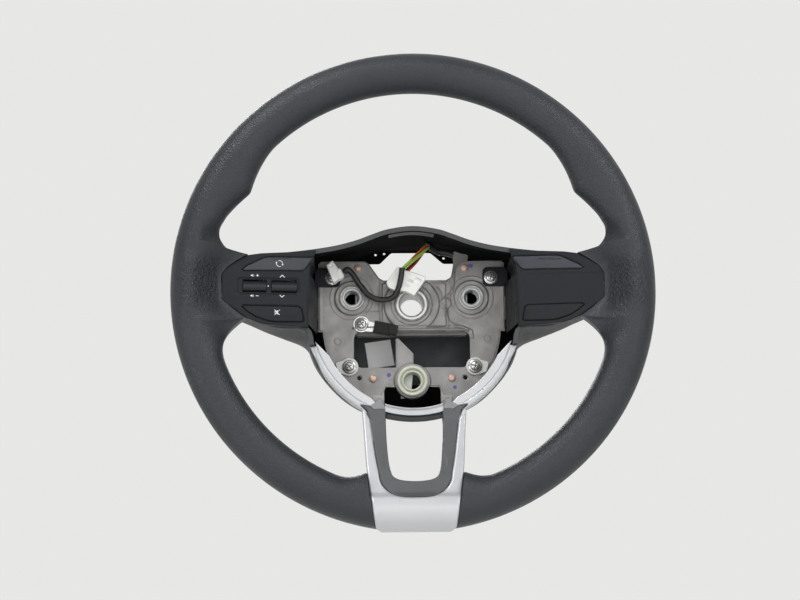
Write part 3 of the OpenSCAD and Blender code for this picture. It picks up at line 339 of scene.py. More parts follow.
def prism(poly, d0, d1, axis):
    """Vertices and faces of a prism: (x, z) outlines along Y, (y, z) outlines along X."""
    put = {"y": lambda p, d: (p[0], d, p[1]), "x": lambda p, d: (d, p[0], p[1])}[axis]
    n = len(poly)
    verts = [put(p, d0) for p in poly] + [put(p, d1) for p in poly]
    faces = [tuple(range(n)), tuple(range(2 * n - 1, n - 1, -1))]
    faces += [(i, (i + 1) % n, n + (i + 1) % n, n + i) for i in range(n)]
    return verts, faces


def cutter(poly, d0, d1, axis, mat):
    return raw_mesh("helper", *prism(poly, d0, d1, axis), mat)


def loft(rings, closed=False, caps=True):
    """Vertices and quads through rings of equal length."""
    n = len(rings[0])
    verts = [p for r in rings for p in r]
    faces = []
    last = len(rings) if closed else len(rings) - 1
    for i in range(last):
        a, b = i * n, ((i + 1) % len(rings)) * n
        for j in range(n):
            k = (j + 1) % n
            faces.append((a + j, b + j, b + k, a + k))
    if caps and not closed:
        faces.append(tuple(range(n)))
        faces.append(tuple(reversed(range((len(rings) - 1) * n, len(rings) * n))))
    return verts, faces


def sheet(rows, closed=False):
    """Vertices and quads through open rows of equal length."""
    m, faces = len(rows[0]), []
    for i in range(len(rows) if closed else len(rows) - 1):
        a, b = i * m, (i + 1) % len(rows) * m
        faces += [(a + j, a + j + 1, b + j + 1, b + j) for j in range(m - 1)]
    return [p for row in rows for p in row], faces


def revolve(profile, x, z, n=48):
    """Turned about an axis along Y through (x, z), from (radius, y) points or a function of the step."""
    rows = []
    for k in range(n):
        c, s = cos(2 * pi * k / n), sin(2 * pi * k / n)
        rows.append([(x + r * c, y, z + r * s) for r, y in (profile(k) if callable(profile) else profile)])
    return sheet(rows, closed=True)


def tube(route, r, n=12, steps=4):
    """Round tube along a smooth route of points in mm."""
    c = open_curve(route, steps)
    ref = np.array([0.1, 0.3, 0.95])
    rings = []
    side = None
    for i in range(len(c)):
        t = c[min(i + 1, len(c) - 1)] - c[max(i - 1, 0)]
        t = t / np.linalg.norm(t)
        s = np.cross(t, ref) if side is None else side - t * (side @ t)
        side = s / np.linalg.norm(s)
        up = np.cross(side, t)
        rings.append([c[i] + r * (cos(2 * pi * k / n) * side + sin(2 * pi * k / n) * up) for k in range(n)])
    return loft(rings)


def catmull(a, b, c, d, t):
    cubic = (3 * b - a - 3 * c + d) * t ** 3
    return 0.5 * (2 * b + (c - a) * t + (2 * a - 5 * b + 4 * c - d) * t * t + cubic)


def open_curve(p, n):
    p = [np.array(q, float) for q in p]
    out = []
    for i in range(len(p) - 1):
        for k in range(n):
            out.append(catmull(p[max(i - 1, 0)], p[i], p[i + 1], p[min(i + 2, len(p) - 1)], k / n))
    return np.array(out + [p[-1]])


def loop_curve(p, n):
    p = [np.array(q, float) for q in p]
    m = len(p)
    return np.array([catmull(p[i - 1], p[i], p[(i + 1) % m], p[(i + 2) % m], k / n) for i in range(m)
        for k in range(n)])


def grown(P, d):
    """A closed outline moved outwards by d."""
    P = np.array(P, float)
    t = np.roll(P, -1, 0) - np.roll(P, 1, 0)
    t = t / np.linalg.norm(t, axis=1)[:, None]
    area = np.sum(P[:, 0] * np.roll(P[:, 1], -1) - np.roll(P[:, 0], -1) * P[:, 1])
    return P + d * np.sign(area) * np.stack([t[:, 1], -t[:, 0]], 1)


def c01(t):
    return np.clip(t, 0, 1)


def smooth(t):
    t = c01(t)
    return t * t * (3 - 2 * t)


# Signed distances in the front view, in mm, negative inside

def to_segment(a, b, x, z):
    """Square of the distance to a segment, and on which side of its line a point lies."""
    e = b - a
    wx, wz = x - a[0], z - a[1]
    t = np.clip((wx * e[0] + wz * e[1]) / (e @ e), 0, 1)
    return (wx - e[0] * t) ** 2 + (wz - e[1] * t) ** 2, e[0] * wz > e[1] * wx


def sd_poly(P, x, z):
    P = np.array(P, float)
    d = np.full(x.shape, 1e9)
    s = np.ones(x.shape)
    for a, b in zip(P, np.roll(P, 1, 0)):
        square, c3 = to_segment(a, b, x, z)
        d = np.minimum(d, square)
        c1, c2 = z >= a[1], z < b[1]
        s = np.where((c1 & c2 & c3) | (~c1 & ~c2 & ~c3), -s, s)
    return s * np.sqrt(d)


def sd_circle(cx, cz, r, x, z):
    return np.hypot(x - cx, z - cz) - r


def sd_box(x0, x1, z0, z1, r, x, z):
    qx = np.abs(x - (x0 + x1) / 2) - (x1 - x0) / 2 + r
    qz = np.abs(z - (z0 + z1) / 2) - (z1 - z0) / 2 + r
    return np.hypot(np.maximum(qx, 0), np.maximum(qz, 0)) + np.minimum(np.maximum(qx, qz), 0) - r


def sd_line(P, x, z):
    """Distance to an open polyline."""
    P = np.array(P, float)
    return np.sqrt(either(*(to_segment(a, b, x, z)[0] for a, b in zip(P[:-1], P[1:]))))


def both(*parts):
    return reduce(np.maximum, parts)


def either(*parts):
    return reduce(np.minimum, parts)


def rounded(sd, r):
    """How far a rounded edge of radius r lies behind the face, at signed distance sd."""
    t = np.clip((r + sd) / r, 0, 1)
    return r * (1 - np.sqrt(np.maximum(0, 1 - t * t)))


def relief(name, field, front, box, h, mat, depth=1.5, edge=0.6, **kw):
    """Skin over the front-view region where field(x, z) < 0, at depth front(x, z), on a grid of h mm.

    Its edges are rounded by edge, and its side walls go back by depth, a number or a function of (x, z).
    """
    x0, x1, z0, z1 = box
    nx, nz = int(round((x1 - x0) / h)) + 1, int(round((z1 - z0) / h)) + 1
    x, z = np.meshgrid(np.linspace(x0, x1, nx), np.linspace(z0, z1, nz), indexing="ij")
    sd = field(x, z)
    e = 0.02
    gx = (field(x + e, z) - field(x - e, z)) / (2 * e)
    gz = (field(x, z + e) - field(x, z - e)) / (2 * e)
    g = np.maximum(np.hypot(gx, gz), 0.3)
    near = np.abs(sd) < 0.62 * h
    sx, sz = np.where(near, x - sd * gx / g ** 2, x), np.where(near, z - sd * gz / g ** 2, z)
    sd2 = np.where(near, 0.0, sd)
    ok = sd2 <= 0
    y = front(sx, sz) + rounded(sd2, edge)
    idx = -np.ones(x.shape, int)
    idx[ok] = np.arange(ok.sum())
    verts = np.stack([sx[ok], y[ok], sz[ok]], 1)
    full = ok[:-1, :-1] & ok[1:, :-1] & ok[1:, 1:] & ok[:-1, 1:]
    a, b, c, d = idx[:-1, :-1][full], idx[1:, :-1][full], idx[1:, 1:][full], idx[:-1, 1:][full]
    quads = np.stack([a, b, c, d], 1)
    tris = []
    cell = ((0, 0), (1, 0), (1, 1), (0, 1))
    for corner in cell:  # cells with one corner outside
        part = ~full
        for i, j in cell:
            v = ok[i:nx - 1 + i, j:nz - 1 + j]
            part = part & (~v if (i, j) == corner else v)
        tris.append(np.stack([idx[i:nx - 1 + i, j:nz - 1 + j][part] for i, j in cell if (i, j) != corner], 1))
    tris = np.concatenate(tris)
    faces = [tuple(q) for q in quads] + [tuple(q) for q in tris]
    count = {}
    for f in faces:
        for i in range(len(f)):
            u, v = f[i], f[(i + 1) % len(f)]
            count[(u, v)] = count.get((u, v), 0) + 1
    edges = [k for k in count if (k[1], k[0]) not in count]
    used = sorted({i for q in edges for i in q})
    n = len(verts)
    deep = depth(verts[used][:, 0], verts[used][:, 2]) if callable(depth) else depth
    extra = verts[used].copy()
    extra[:, 1] += deep
    low = {v: n + i for i, v in enumerate(used)}
    faces += [(v, u, low[u], low[v]) for u, v in edges]
    return mesh_piece(name, np.concatenate([verts, extra]), faces, mat, **kw)


def level_at(y):
    """A flat front at depth y."""
    return lambda x, z: y + 0 * x


def sided(side, x0, x1, z0, z1):
    """A box on the right, or its mirror image on the left."""
    return (x0, x1, z0, z1) if side > 0 else (-x1, -x0, z0, z1)


# ---- grip

rim_r, grip_r, dish, thumb_rise = 185, 15.7, 74, 8.6
ring_r, rim_y = rim_r - grip_r, -dish
seam_x = ring_r - grip_r - 7
pod_h = 60
pod_front_in, pod_front_out = -pod_h, rim_y + 4
seam = np.array([[seam_x - 18.5, -21.3], [seam_x - 4, -10], [seam_x - 0.4, -7], [seam_x, 12.4],
    [seam_x - 4.2, 18.2], [seam_x - 14, 24.8], [seam_x - 19.8, 28]])
seam_f = np.degrees(np.arctan2(seam[:, 1], seam[:, 0]))
seam_d = np.hypot(seam[:, 0], seam[:, 1])
seam_low, seam_high, thumb_f, foot_f, swell_f = seam_f[0], seam_f[-1], 31, -77.4, -75.3


def reach(f):
    """How far the grip reaches inwards past its round section, at f degrees above the right side."""
    if seam_low - 0.01 < f < seam_high + 0.01:
        return ring_r - grip_r - np.interp(f, seam_f, seam_d)
    if f > thumb_f:
        th = (1 - c01((f - thumb_f) / 15.5)) ** 1.35
    else:
        th = 1 - c01((thumb_f - f) / 9.5)
    if f > 0:
        co = 9.4 * (1 - c01((f - seam_high) / 3.3)) ** 1.7 - 1.8 * exp(-((f - seam_high - 5.3) / 2) ** 2)
    else:
        co = 22.7 * (1 - c01((seam_low - f) / 13.5)) ** 2.9
    ft = 0 if f < foot_f else 9 * (1 - c01((f - swell_f) / 7.5)) ** 1.7
    return thumb_rise * th + co + ft


def spoke_weight(f):
    """1 where the section is that of the side spoke, 0 where it is the round one."""
    return 1 - smooth((f - seam_high) / 7) if f > 0 else 1 - smooth((seam_low - f) / 9)


def soft_reach(f):
    """reach, with its kinks softened away from the seam."""
    if seam_low - 1.5 < f < seam_high + 1.5 or f < foot_f + 1:
        return reach(f)
    return sum(w * reach(f + d) for d, w in ((-1.2, .1), (-.6, .2), (0, .4), (.6, .2), (1.2, .1)))


# steps along the inner half of a section: 0 is the front, 5 the innermost point and 10 the rear
K_PLAIN = np.concatenate([np.linspace(0, 4.6, 15), [4.85, 5.0, 5.15, 5.4, 5.7, 6.0, 6.15, 6.4],
    np.linspace(6.8, 10, 9)])


def grip_section(f):
    r = soft_reach(f)
    w = spoke_weight(f)
    k = K_PLAIN
    plain = np.stack([(grip_r + r) * np.sin(np.pi * k / 10), grip_r * np.cos(np.pi * k / 10)], 1)
    in_end, drop, rear = grip_r + r, rim_y - pod_front_out, -grip_r + 0.2
    u = np.where(k < 5, in_end * k / 5, np.where(k < 6, in_end, in_end * (10 - k) / 4))
    v = np.where(k < 5, grip_r + (drop - grip_r) * smooth(k / 5),
        np.where(k < 6, drop + (rear - drop) * (k - 5), rear))
    inner = plain * (1 - w) + np.stack([u, v], 1) * w
    inner[0], inner[-1] = plain[0], plain[-1]
    a = np.linspace(180, 360, 27)[1:-1]
    outer = np.stack([grip_r * np.sin(np.radians(a)), grip_r * np.cos(np.radians(a))], 1)
    return np.concatenate([inner, outer])


def grip_ring(f, side):
    s = grip_section(f)
    c, n = cos(radians(f)), sin(radians(f))
    r = ring_r - s[:, 0]
    return np.stack([side * r * c, rim_y - s[:, 1], r * n], 1)


# angles of the sections, closer together at the seam, the thumb rest and the foot
angles = sorted(set(np.round(np.concatenate([np.linspace(-90, foot_f - 0.4, 14),
    np.linspace(foot_f, foot_f + 8, 14), np.linspace(foot_f + 8.8, seam_low - 14, 34),
    np.linspace(seam_low - 13, seam_low - 0.2, 26), seam_f, np.linspace(seam_low, seam_high, 22),
    np.linspace(seam_high + 0.2, seam_high + 8, 24), np.linspace(seam_high + 8.6, 47, 44),
    np.linspace(48, 90, 34)]), 4)))
rings = [grip_ring(f, -1) for f in angles] + [grip_ring(f, 1) for f in angles[-2:0:-1]]
grip = raw_mesh("grip", *loft(rings, closed=True), grip_mat)

# ---- lower spoke trim

arc_z, arc_r, arc_w, arc_step, bar_w = -17, 72, 11.5, 6, 6.4
pad_r = grip_r + 0.6


def on_rim(a, extra=0.0):
    a = radians(a)
    return [rim_y - (pad_r + extra) * cos(a), -ring_r + (pad_r + extra) * sin(a)]


def mirrored(half):
    """The other half of an outline, in the order that goes on from this one."""
    return [[-x, z] for x, z in reversed(half)]


trim_path = open_curve([[-54, -24], [-53, -58], [-53, -86], [-57, -101], [-66, -120],
    [rim_y - 3, -ring_r + 28], on_rim(62), on_rim(35), on_rim(5), on_rim(-25), on_rim(-50), on_rim(-72)], 24)
leg_outline = [[-40.5, -86], [-38.5, -112], [-36.4, -ring_r + 29], [-30.8, -ring_r - 8],
    [-29.2, -ring_r - 13.4], [-25.5, -ring_r - 15.8]]
half = [[-36, -79], [-36.2, -88], [-33, -113], [-29.2, -ring_r + 32], [-24.6, -ring_r + 19],
    [-15, -ring_r + 11.3]]
insert_outer = loop_curve(half + [[0, -ring_r + 9.7]] + mirrored(half) + [[18, -79], [0, -79], [-18, -79]], 6)
half = [[-21.8, -98], [-21, -120], [-18.8, -ring_r + 31], [-14, -ring_r + 24]]
insert_window = loop_curve(half + [[0, -ring_r + 22]] + mirrored(half) + [[22, -74], [0, -70], [-22, -74]], 6)
leg_curve = np.concatenate([open_curve(leg_outline, 5), open_curve(mirrored(leg_outline), 5)])

# the grip makes room for the trim that wraps round it
turn = np.radians(np.linspace(80.94, 253.4, 28))
recess = [(rim_y - 25, -ring_r + 34), (rim_y + 4, -ring_r + 34), (rim_y + 3, -ring_r + 22)]
recess += [(rim_y + 12.7 * cos(t), -ring_r + 12.7 * sin(t)) for t in turn]
recess += [(rim_y - 3.63, -ring_r - 25), (rim_y - 25, -ring_r - 25)]
room = cutter(grown(leg_curve, 0.3), rim_y - 24, rim_y + 3, "y", grip_mat)
cut(room, cutter(recess, -45, 45, "x", grip_mat), "INTERSECT")
cut(grip, room)
finish_piece(grip, slot="grip_leather", replaces=["rim_foam", "rim_core"], angle=38)


def trim_front(x, z):
    order = np.argsort(trim_path[:, 1])
    return np.interp(z, trim_path[order, 1], trim_path[order, 0])


def ring_band(r0, r1, x, z):
    d = np.hypot(x, z - arc_z)
    return np.maximum(r0 - d, d - r1)


def bar_field(x, z):
    """Flat inner band of the arc, which ends at the legs."""
    band = both(ring_band(arc_r, arc_r + arc_step + 0.4, x, z), z + 30)
    return both(band, (30.4 - np.abs(x) + (z + 84) * 0.97) / 1.39)


def middle_bar(x, z):
    return both(ring_band(arc_r + 0.3, arc_r + arc_step + 0.2, x, z), np.abs(x) - 22.4, z)


def bar_front(x, z):
    """The bar between the legs has a thin raised lip on its upper edge."""
    d = np.hypot(x, z - arc_z) - arc_r
    return trim_front(x, z) + 0.4 + 1.3 * smooth((d - 1.2) / 0.5) - 0.35 * smooth((d - 2.2) / 1.0)


# the insert's legs run up to a tip between the raised edge and the arc's inner band
tongue = [[40.6, -87.0], [33.6, -88.2], [24, -95.2], [21.8, -97], [21.8, -98], [33.4, -98], [34.6, -94],
    [36.6, -90.4]]
arm_end = [[34.4, -87.4], [29.6, -84.4], [26.2, -80.9], [24.0, -84.0], [21.9, -89.2], [21.9, -97.4],
    [24.4, -95.6]]


def leg_inset(z):
    """The silver legs are a little wider than the solid's on their way down to the foot."""
    return 1.3 * smooth((-z - 93) / 6) * smooth((z + 150) / 12) - 0.2


def raised_field(x, z):
    a = both(ring_band(arc_r + arc_step, arc_r + arc_w, x, z), 23 - np.abs(x), z + 41)
    leg = both(sd_poly(leg_curve, x, z), -(np.hypot(x, z - arc_z) - (arc_r + bar_w + 0.4)))
    hole = either(both(sd_poly(insert_outer, x, z) + leg_inset(z), z + 91),
        sd_poly(tongue, np.abs(x), z) - 0.2)
    return both(either(a, leg), -hole, -both(sd_poly(insert_window, x, z), -z - 120))


def frame_front(x, z):
    """The raised edge is crowned and falls towards its outer side."""
    d = np.hypot(x, z - arc_z) - arc_r
    side = smooth((d - 7.6) / 5.0) * smooth((z + 97) / 8)
    return trim_front(x, z) + 1.0 * side


relief("trim_band", bar_field, lambda x, z: trim_front(x, z) + 1.15, (-80, 80, -98, -29), 0.5, trim_mat,
    depth=6, edge=0.5, slot="silver_paint", replaces=["spoke_trim"])
relief("trim_bar", middle_bar, bar_front, (-24, 24, -97, -84), 0.3, trim_mat, depth=5, edge=0.35,
    slot="silver_paint")
relief("trim_frame", raised_field, frame_front, (-86, 86, -188, -40), 0.45, trim_mat,
    depth=lambda x, z: 2.6 + 5.9 * smooth((z + 134) / 26), edge=1.7, slot="silver_paint")
# strip under the middle bar, in a darker copy of the cover grey: painted shade
relief("bar_underside_shade",
    lambda x, z: both(ring_band(arc_r + arc_step, arc_r + arc_step + 4.6, x, z), np.abs(x) - 22.2, z),
    lambda x, z: trim_front(x, z) + 3.2, (-24, 24, -101, -86), 0.4, shaded_cover_mat, depth=6, edge=0.5,
    slot="cover_grey")


def insert_field(x, z):
    a = both(sd_poly(insert_outer, x, z) + leg_inset(z) + 0.2, -sd_poly(insert_window, x, z), z + 90)
    top = both(sd_poly(tongue, np.abs(x), z), -z - 97)
    return either(a, top)


insert_path = open_curve([[-56.2, -79], [-56.4, -88], [-58.6, -101], [-67, -120], [rim_y - 3.4, -ring_r + 28],
    on_rim(62, 0.2), on_rim(35, 0.3), on_rim(8, 0.3)], 24)


def insert_front(x, z):
    order = np.argsort(insert_path[:, 1])
    base = np.interp(z, insert_path[order, 1], insert_path[order, 0])
    crease = 1.1 * smooth((30 - np.abs(x)) / 8) * smooth((z + 150) / 20)
    up = 3.4 * smooth((z + 94) / 10)
    return np.maximum(base + crease + up, trim_front(x, z) + 0.2 - 1.0 * smooth((z + 100) / 6))


relief("insert_face", insert_field, insert_front, (-42, 42, -162, -79), 0.4, insert_mat,
    depth=5, edge=0.7, slot="insert_grey", replaces=["spoke_insert"])
# the ends of the arc's inner band by the bar, in a mid-grey copy of the silver paint: painted shade
for side, name in SIDES:
    relief(name + "_arm_end", lambda x, z: sd_poly(arm_end, np.abs(x), z),
        lambda x, z: trim_front(x, z) + 0.9 + 0.5 * smooth((-z - 86) / 8), sided(side, 20, 36, -99, -79), 0.3,
        shaded_silver_mat, depth=4, edge=0.5, slot="silver_paint")

# ---- rear cover

cover_wall, cover_depth = 2.6, 44
cover_y = [rim_y + grip_r + 0.5, -34, 4, cover_depth]
# right half of the cover's outline at each of these depths, from the top down
cover_outlines = [np.array(o, float) for o in (
    [[0, 51.8], [19, 49.4], [31, 45.5], [44, 40.7], [60, 36.6], [80, 33.5], [105, 30.8], [127, 28],
     [seam_x - 1.5, 15], [seam_x - 1.5, -12.5], [130, -20.5], [105, -27.3], [84, -29.3], [79.5, -42],
     [74.5, -55], [63.5, -70], [49.5, -83], [33, -91.5], [16, -94.8], [0, -95.4]],
    [[0, 53.5], [19, 51], [31, 47], [44, 42.5], [60, 38.5], [80, 34.5], [100, 30.5], [118, 26.5], [128, 20],
     [128, -15], [118, -25], [100, -33], [83, -37.5], [80, -46], [75, -57], [64, -71.5], [50, -84],
     [33, -92], [16, -95.3], [0, -96]],
    [[0, 54.5], [19, 53], [31, 51], [44, 48.5], [58, 45], [72, 41], [82, 34], [88.5, 21], [91, 8],
     [91, -9], [88, -20], [84, -30], [79.5, -40], [74.5, -50], [68, -60], [59, -70], [47, -80],
     [32, -88], [16, -91.3], [0, -92]],
    [[0, 54], [17, 53.5], [31, 51.5], [44, 47], [54, 40], [62, 31], [67, 22], [70, 12.5], [72, 3],
     [72, -7], [70, -17], [67, -26], [62, -36], [56, -46], [48, -55], [39, -63], [29, -69.5],
     [19, -73.5], [10, -75.5], [0, -76]])]


def cover_ring(s, inset, lift=0.0, fine=4):
    i = min(int(s), 2)
    o = cover_outlines
    p = catmull(o[max(i - 1, 0)], o[i], o[i + 1], o[min(i + 2, 3)], s - i)
    half = p.tolist()
    c = loop_curve(half + mirrored(half[1:-1]), fine)
    if inset:
        c = grown(c, -inset)
    y = cover_y[i] + (cover_y[i + 1] - cover_y[i]) * (s - i) + lift
    return [(q[0], y, q[1]) for q in c]


def lip(s):
    return 1.2 * (1 - float(smooth(s)))


levels = np.linspace(0, 3, 25)
cover = raw_mesh("cover_shell", *loft([cover_ring(s, 0) for s in levels]), cover_mat)
inner = [cover_ring(0, cover_wall + lip(0), -5)] + [cover_ring(s, cover_wall + lip(s)) for s in levels[:-1]]
inner += [cover_ring(3, cover_wall, -cover_wall)]
# the inner faces take the cutter's material, the painted shade of the cover's inside
cut(cover, raw_mesh("helper", *loft(inner), inside_shade_mat))


def round_box(x0, x1, z0, z1, r, n=6):
    out = []
    for cx, cz, a in ((x1 - r, z1 - r, 0), (x0 + r, z1 - r, 90), (x0 + r, z0 + r, 180),
            (x1 - r, z0 + r, 270)):
        out += [(cx + r * cos(radians(a + t)), cz + r * sin(radians(a + t))) for t in np.linspace(0, 90, n)]
    return out


floor_cut = cover_depth - 12, cover_depth + 2
notch_cut = cover_depth - 12.3, cover_depth + 2.3
cut(cover, cutter(round_box(-43, 43, -16.5, 41, 8), *floor_cut, "y", inside_shade_mat))
cut(cover, cutter([[-28, 36], [-26.4, 40.8], [-24.5, 41.6], [-16.5, 49.4], [-15, 50.2], [16, 50.2],
    [17.5, 49.4], [26.5, 41.6], [28.4, 40.8], [30, 36]], *notch_cut, "y", inside_shade_mat))
for cx, cz in ((-28.5, 48.6), (24, 48.6), (-21.4, 49.4), (27.6, 45.4)):
    hole = [(cx + 1.1 * cos(t), cz + 1.1 * sin(t)) for t in np.linspace(0, 2 * pi, 17)[:-1]]
    cut(cover, cutter(hole, *floor_cut, "y", inside_shade_mat))


def arc_sector(r0, r1, zmax):
    """Ring sector about the airbag opening, below the height zmax."""
    lim0 = asin((zmax - arc_z) / r0)
    lim1 = asin((zmax - arc_z) / r1)
    a = np.linspace(pi - lim1, 2 * pi + lim1, 90)
    b = np.linspace(2 * pi + lim0, pi - lim0, 90)
    return [(r1 * cos(t), arc_z + r1 * sin(t)) for t in a] + [(r0 * cos(t), arc_z + r0 * sin(t)) for t in b]


# room for the trim; the ends of the three cuts differ a little, so that no faces coincide
room_front, room_rear = -62, -43.4
cut(cover, cutter(arc_sector(arc_r - 0.3, arc_r + arc_step + 0.3, -29.7), room_front, room_rear, "y",
    cover_mat))
cut(cover, cutter(arc_sector(arc_r + arc_step - 0.8, arc_r + arc_w + 0.3, -40.7), -62.2, -43.5, "y",
    cover_mat))
cut(cover, cutter([(-70, -110), (70, -110), (70, -60), (-70, -60)], -62.4, -43.3, "y", cover_mat))
for x in (-27, 27):
    cut(cover, cutter([(-60, -110), (-60, -80), (-40, -74), (8, -68), (8, -96), (-6, -110)], x - 6.5, x + 6.5,
        "x", inside_shade_mat))
finish_piece(cover, slot="cover_grey", replaces=["rear_cover"], angle=30)

# lighter strip on the ceiling of the arch, behind the lip
strip_x = np.linspace(-18.5, 17, 30)
strip = []
for s in np.linspace(0.14, 1.1, 12):
    r = np.array([q for q in cover_ring(s, cover_wall + lip(s) + 0.3) if q[2] > 20])
    r = r[np.argsort(r[:, 0])]
    strip.append([(x, r[0, 1], float(np.interp(x, r[:, 0], r[:, 2]))) for x in strip_x])
arch = raw_mesh("arch_strip", *sheet(strip), strip_mat)
arch.modifiers.new("thick", "SOLIDIFY").thickness = 0.0004
finish_piece(arch, slot="cover_grey")

# ---- switch pods

pod_outline = [[74, 33.2], [79, 22], [80.5, -6], [80.3, -28], [100, -27.3], [seam_x - 30, -25.6],
    *seam.tolist(), [seam_x - 30, 29.6], [92, 31.2]]
pod_curve = open_curve([[66, pod_front_in + 2.6], [70, pod_front_in + 1.5], [82, pod_front_in - 0.8],
    [100, pod_front_in + 0.38 * (pod_front_out - pod_front_in)],
    [122, pod_front_in + 0.7 * (pod_front_out - pod_front_in)], [seam_x, pod_front_out],
    [seam_x + 6, pod_front_out - 0.6]], 24)
top_button = [[77.2, 27.4], [77, 25.5], [82.5, 17.6], [84.5, 16], [129.6, 15.2], [131.5, 16.6], [127, 20],
    [114, 26.3], [110, 27]]
low_button = [[83, -24], [85.2, -12.8], [88.5, -11], [129.5, -10.8], [131.6, -12.4], [127.5, -16.2],
    [121, -20.4], [111, -23.6], [105, -24.3]]


def pod_y(x):
    return np.interp(np.abs(x), pod_curve[:, 0], pod_curve[:, 1])


def corner_round(P, r, n=5):
    """The polygon with its corners cut round."""
    P = np.array(P, float)
    out = []
    for i in range(len(P)):
        a, b, c = P[i - 1], P[i], P[(i + 1) % len(P)]
        la, lc = np.linalg.norm(a - b), np.linalg.norm(c - b)
        ua, uc = (a - b) / la, (c - b) / lc
        cosang = np.clip(ua @ uc, -1, 1)
        k = min(r / max(tan(acos(cosang) / 2), 1e-3), 0.45 * la, 0.45 * lc)
        p, q = b + ua * k, b + uc * k
        for t in np.linspace(0, 1, n):
            out.append((1 - t) ** 2 * p + 2 * t * (1 - t) * b + t * t * q)
    return np.array(out)


top_loop = corner_round(top_button, 3.2)
low_loop = corner_round(low_button, 3.2)
pod_loop = corner_round(pod_outline, 2.5)
# the two rocker windows
windows = ((89.0, 109.6), (112.7, 131.2))


def pod_field(rockers):
    def field(x, z):
        ax = np.abs(x)
        d = both(sd_poly(pod_loop, ax, z) + 0.3, -sd_poly(top_loop, ax, z) + 0.02,
            -sd_poly(low_loop, ax, z) + 0.02)
        if rockers:
            for u0, u1 in windows:
                d = both(d, -sd_box(u0, u1, -1.25, 9.05, 0.8, ax, z))
        return d
    return field


def pod_front(rockers):
    def front(x, z):
        ax = np.abs(x)
        y = pod_y(ax) - 0.15
        if rockers:
            y = y + 0.75 * smooth(-sd_box(86.6, 134.4, -3.0, 10.8, 2.2, ax, z) / 1.3)
            shelf = smooth(1 - (ax - 131.5) / 8) * smooth((ax - 131.3) / 0.4)
            y = y + 1.1 * shelf * smooth(-sd_box(120, 141, -1.6, 9.4, 2, ax, z) / 1.5)
            ledge = smooth((ax - 118) / 2) * smooth((-5.8 - z) / 0.5)
            return y + 0.75 * (ledge * smooth((146.5 - ax) / 2) * smooth((z + 10.5) / 3))
        return y + 0.9 * smooth(-sd_box(86.4, 150, -11.0, 12.6, 2.5, ax, z) / 1.4)
    return front


for side, name in SIDES:
    relief(name + "_pod_face", pod_field(side < 0), pod_front(side < 0), sided(side, 72, 148, -30, 35), 0.4,
        pod_mat, depth=2.2, edge=0.8, slot="pod_black")

# ---- buttons and their signs

def button_field(loop, gap):
    return lambda x, z: sd_poly(loop, np.abs(x), z) + gap


def button_front(loop, slot_line, crown):
    def front(x, z):
        ax = np.abs(x)
        y = pod_y(ax) - crown - 0.35 * smooth(-sd_poly(loop, ax, z) / 5)
        if slot_line:
            a, b = slot_line
            y = y + 0.6 * smooth(1 - (sd_line([a, b], ax, z) - 0.35) / 0.4)
        return y
    return front


def gap_field(loop):
    return lambda x, z: np.abs(sd_poly(loop, np.abs(x), z) + 0.25) - 0.32


button_box = 75, 133, -26, 29
fronts = {}
buttons = (
    ("mode_button", -1, top_loop, button_mat, ((94.0, 26.2), (110.4, 25.4))),
    ("mute_button", -1, low_loop, button_low_mat, None),
    ("trip_button", 1, top_loop, button_mat, ((97.2, 24.2), (113.6, 23.3))),
    ("reset_button", 1, low_loop, button_low_mat, None))
for body, side, loop, mat, slot_line in buttons:
    fronts[body] = button_front(loop, slot_line, 0.45)
    relief(body + "_cap", button_field(loop, 0.55), fronts[body], sided(side, *button_box), 0.35, mat,
        depth=4.2, edge=0.9, body=body, slot="button_black", replaces=[body])
# floor of the gaps round the buttons, in a darker, duller copy of the pod black: painted shade in the gaps
for side, name in SIDES:
    for loop, part in ((top_loop, "top"), (low_loop, "low")):
        relief(f"{name}_{part}_gap", gap_field(loop), lambda x, z: pod_y(x) + 1.3, sided(side, *button_box),
            0.35, gap_shade_mat, depth=0.5, edge=0.05, slot="pod_black")


def sign(name, shape, cx, cz, front, box, body="wheel"):
    """A printed sign; shape(u, v) is drawn about its own middle, which lies at (cx, cz)."""
    relief(name, lambda x, z: shape(x - cx, z - cz), lambda x, z: front(x, z) - 0.045, box, 0.11, icon_mat,
        depth=0.2, edge=0.02, body=body, slot="button_black")


def chevron(u, v):
    return sd_line([(-1.6, -0.8), (0, 0.8), (1.6, -0.8)], u, v) - 0.22


def softer(u, v):
    """Loudspeaker, its wave and a minus."""
    cone = [(-2.9, -0.35), (-2.2, -0.35), (-1.5, -1.0), (-1.5, 1.0), (-2.2, 0.35), (-2.9, 0.35)]
    wave = both(np.abs(sd_circle(-1.7, 0, 1.1, u, v)) - 0.12, -1.0 - u)
    return either(sd_poly(cone, u, v), wave, sd_line([(1.4, 0), (3.0, 0)], u, v) - 0.2)


def louder(u, v):
    return either(softer(u, v), sd_line([(2.2, -0.8), (2.2, 0.8)], u, v) - 0.2)


def ring_arrows(u, v):
    ring = both(np.abs(sd_circle(0, 0, 2.3, u, v)) - 0.17, 0.7 - np.abs(u * 0.8 + v * 0.6))
    head = [(1.7, -1.2), (3.0, -0.9), (2.3, 0.1)]
    return either(ring, sd_poly(head, u, v), sd_poly(head, -u, -v))


def muted(u, v):
    cone = [(-1.7, -0.6), (-0.8, -0.6), (0.3, -1.4), (0.3, 1.4), (-0.8, 0.6), (-1.7, 0.6)]
    return either(np.abs(sd_poly(cone, u, v)) - 0.16, sd_line([(-1.9, 1.9), (1.7, -1.9)], u, v) - 0.2,
        sd_line([(-1.9, -1.9), (1.7, 1.9)], u, v) - 0.16)


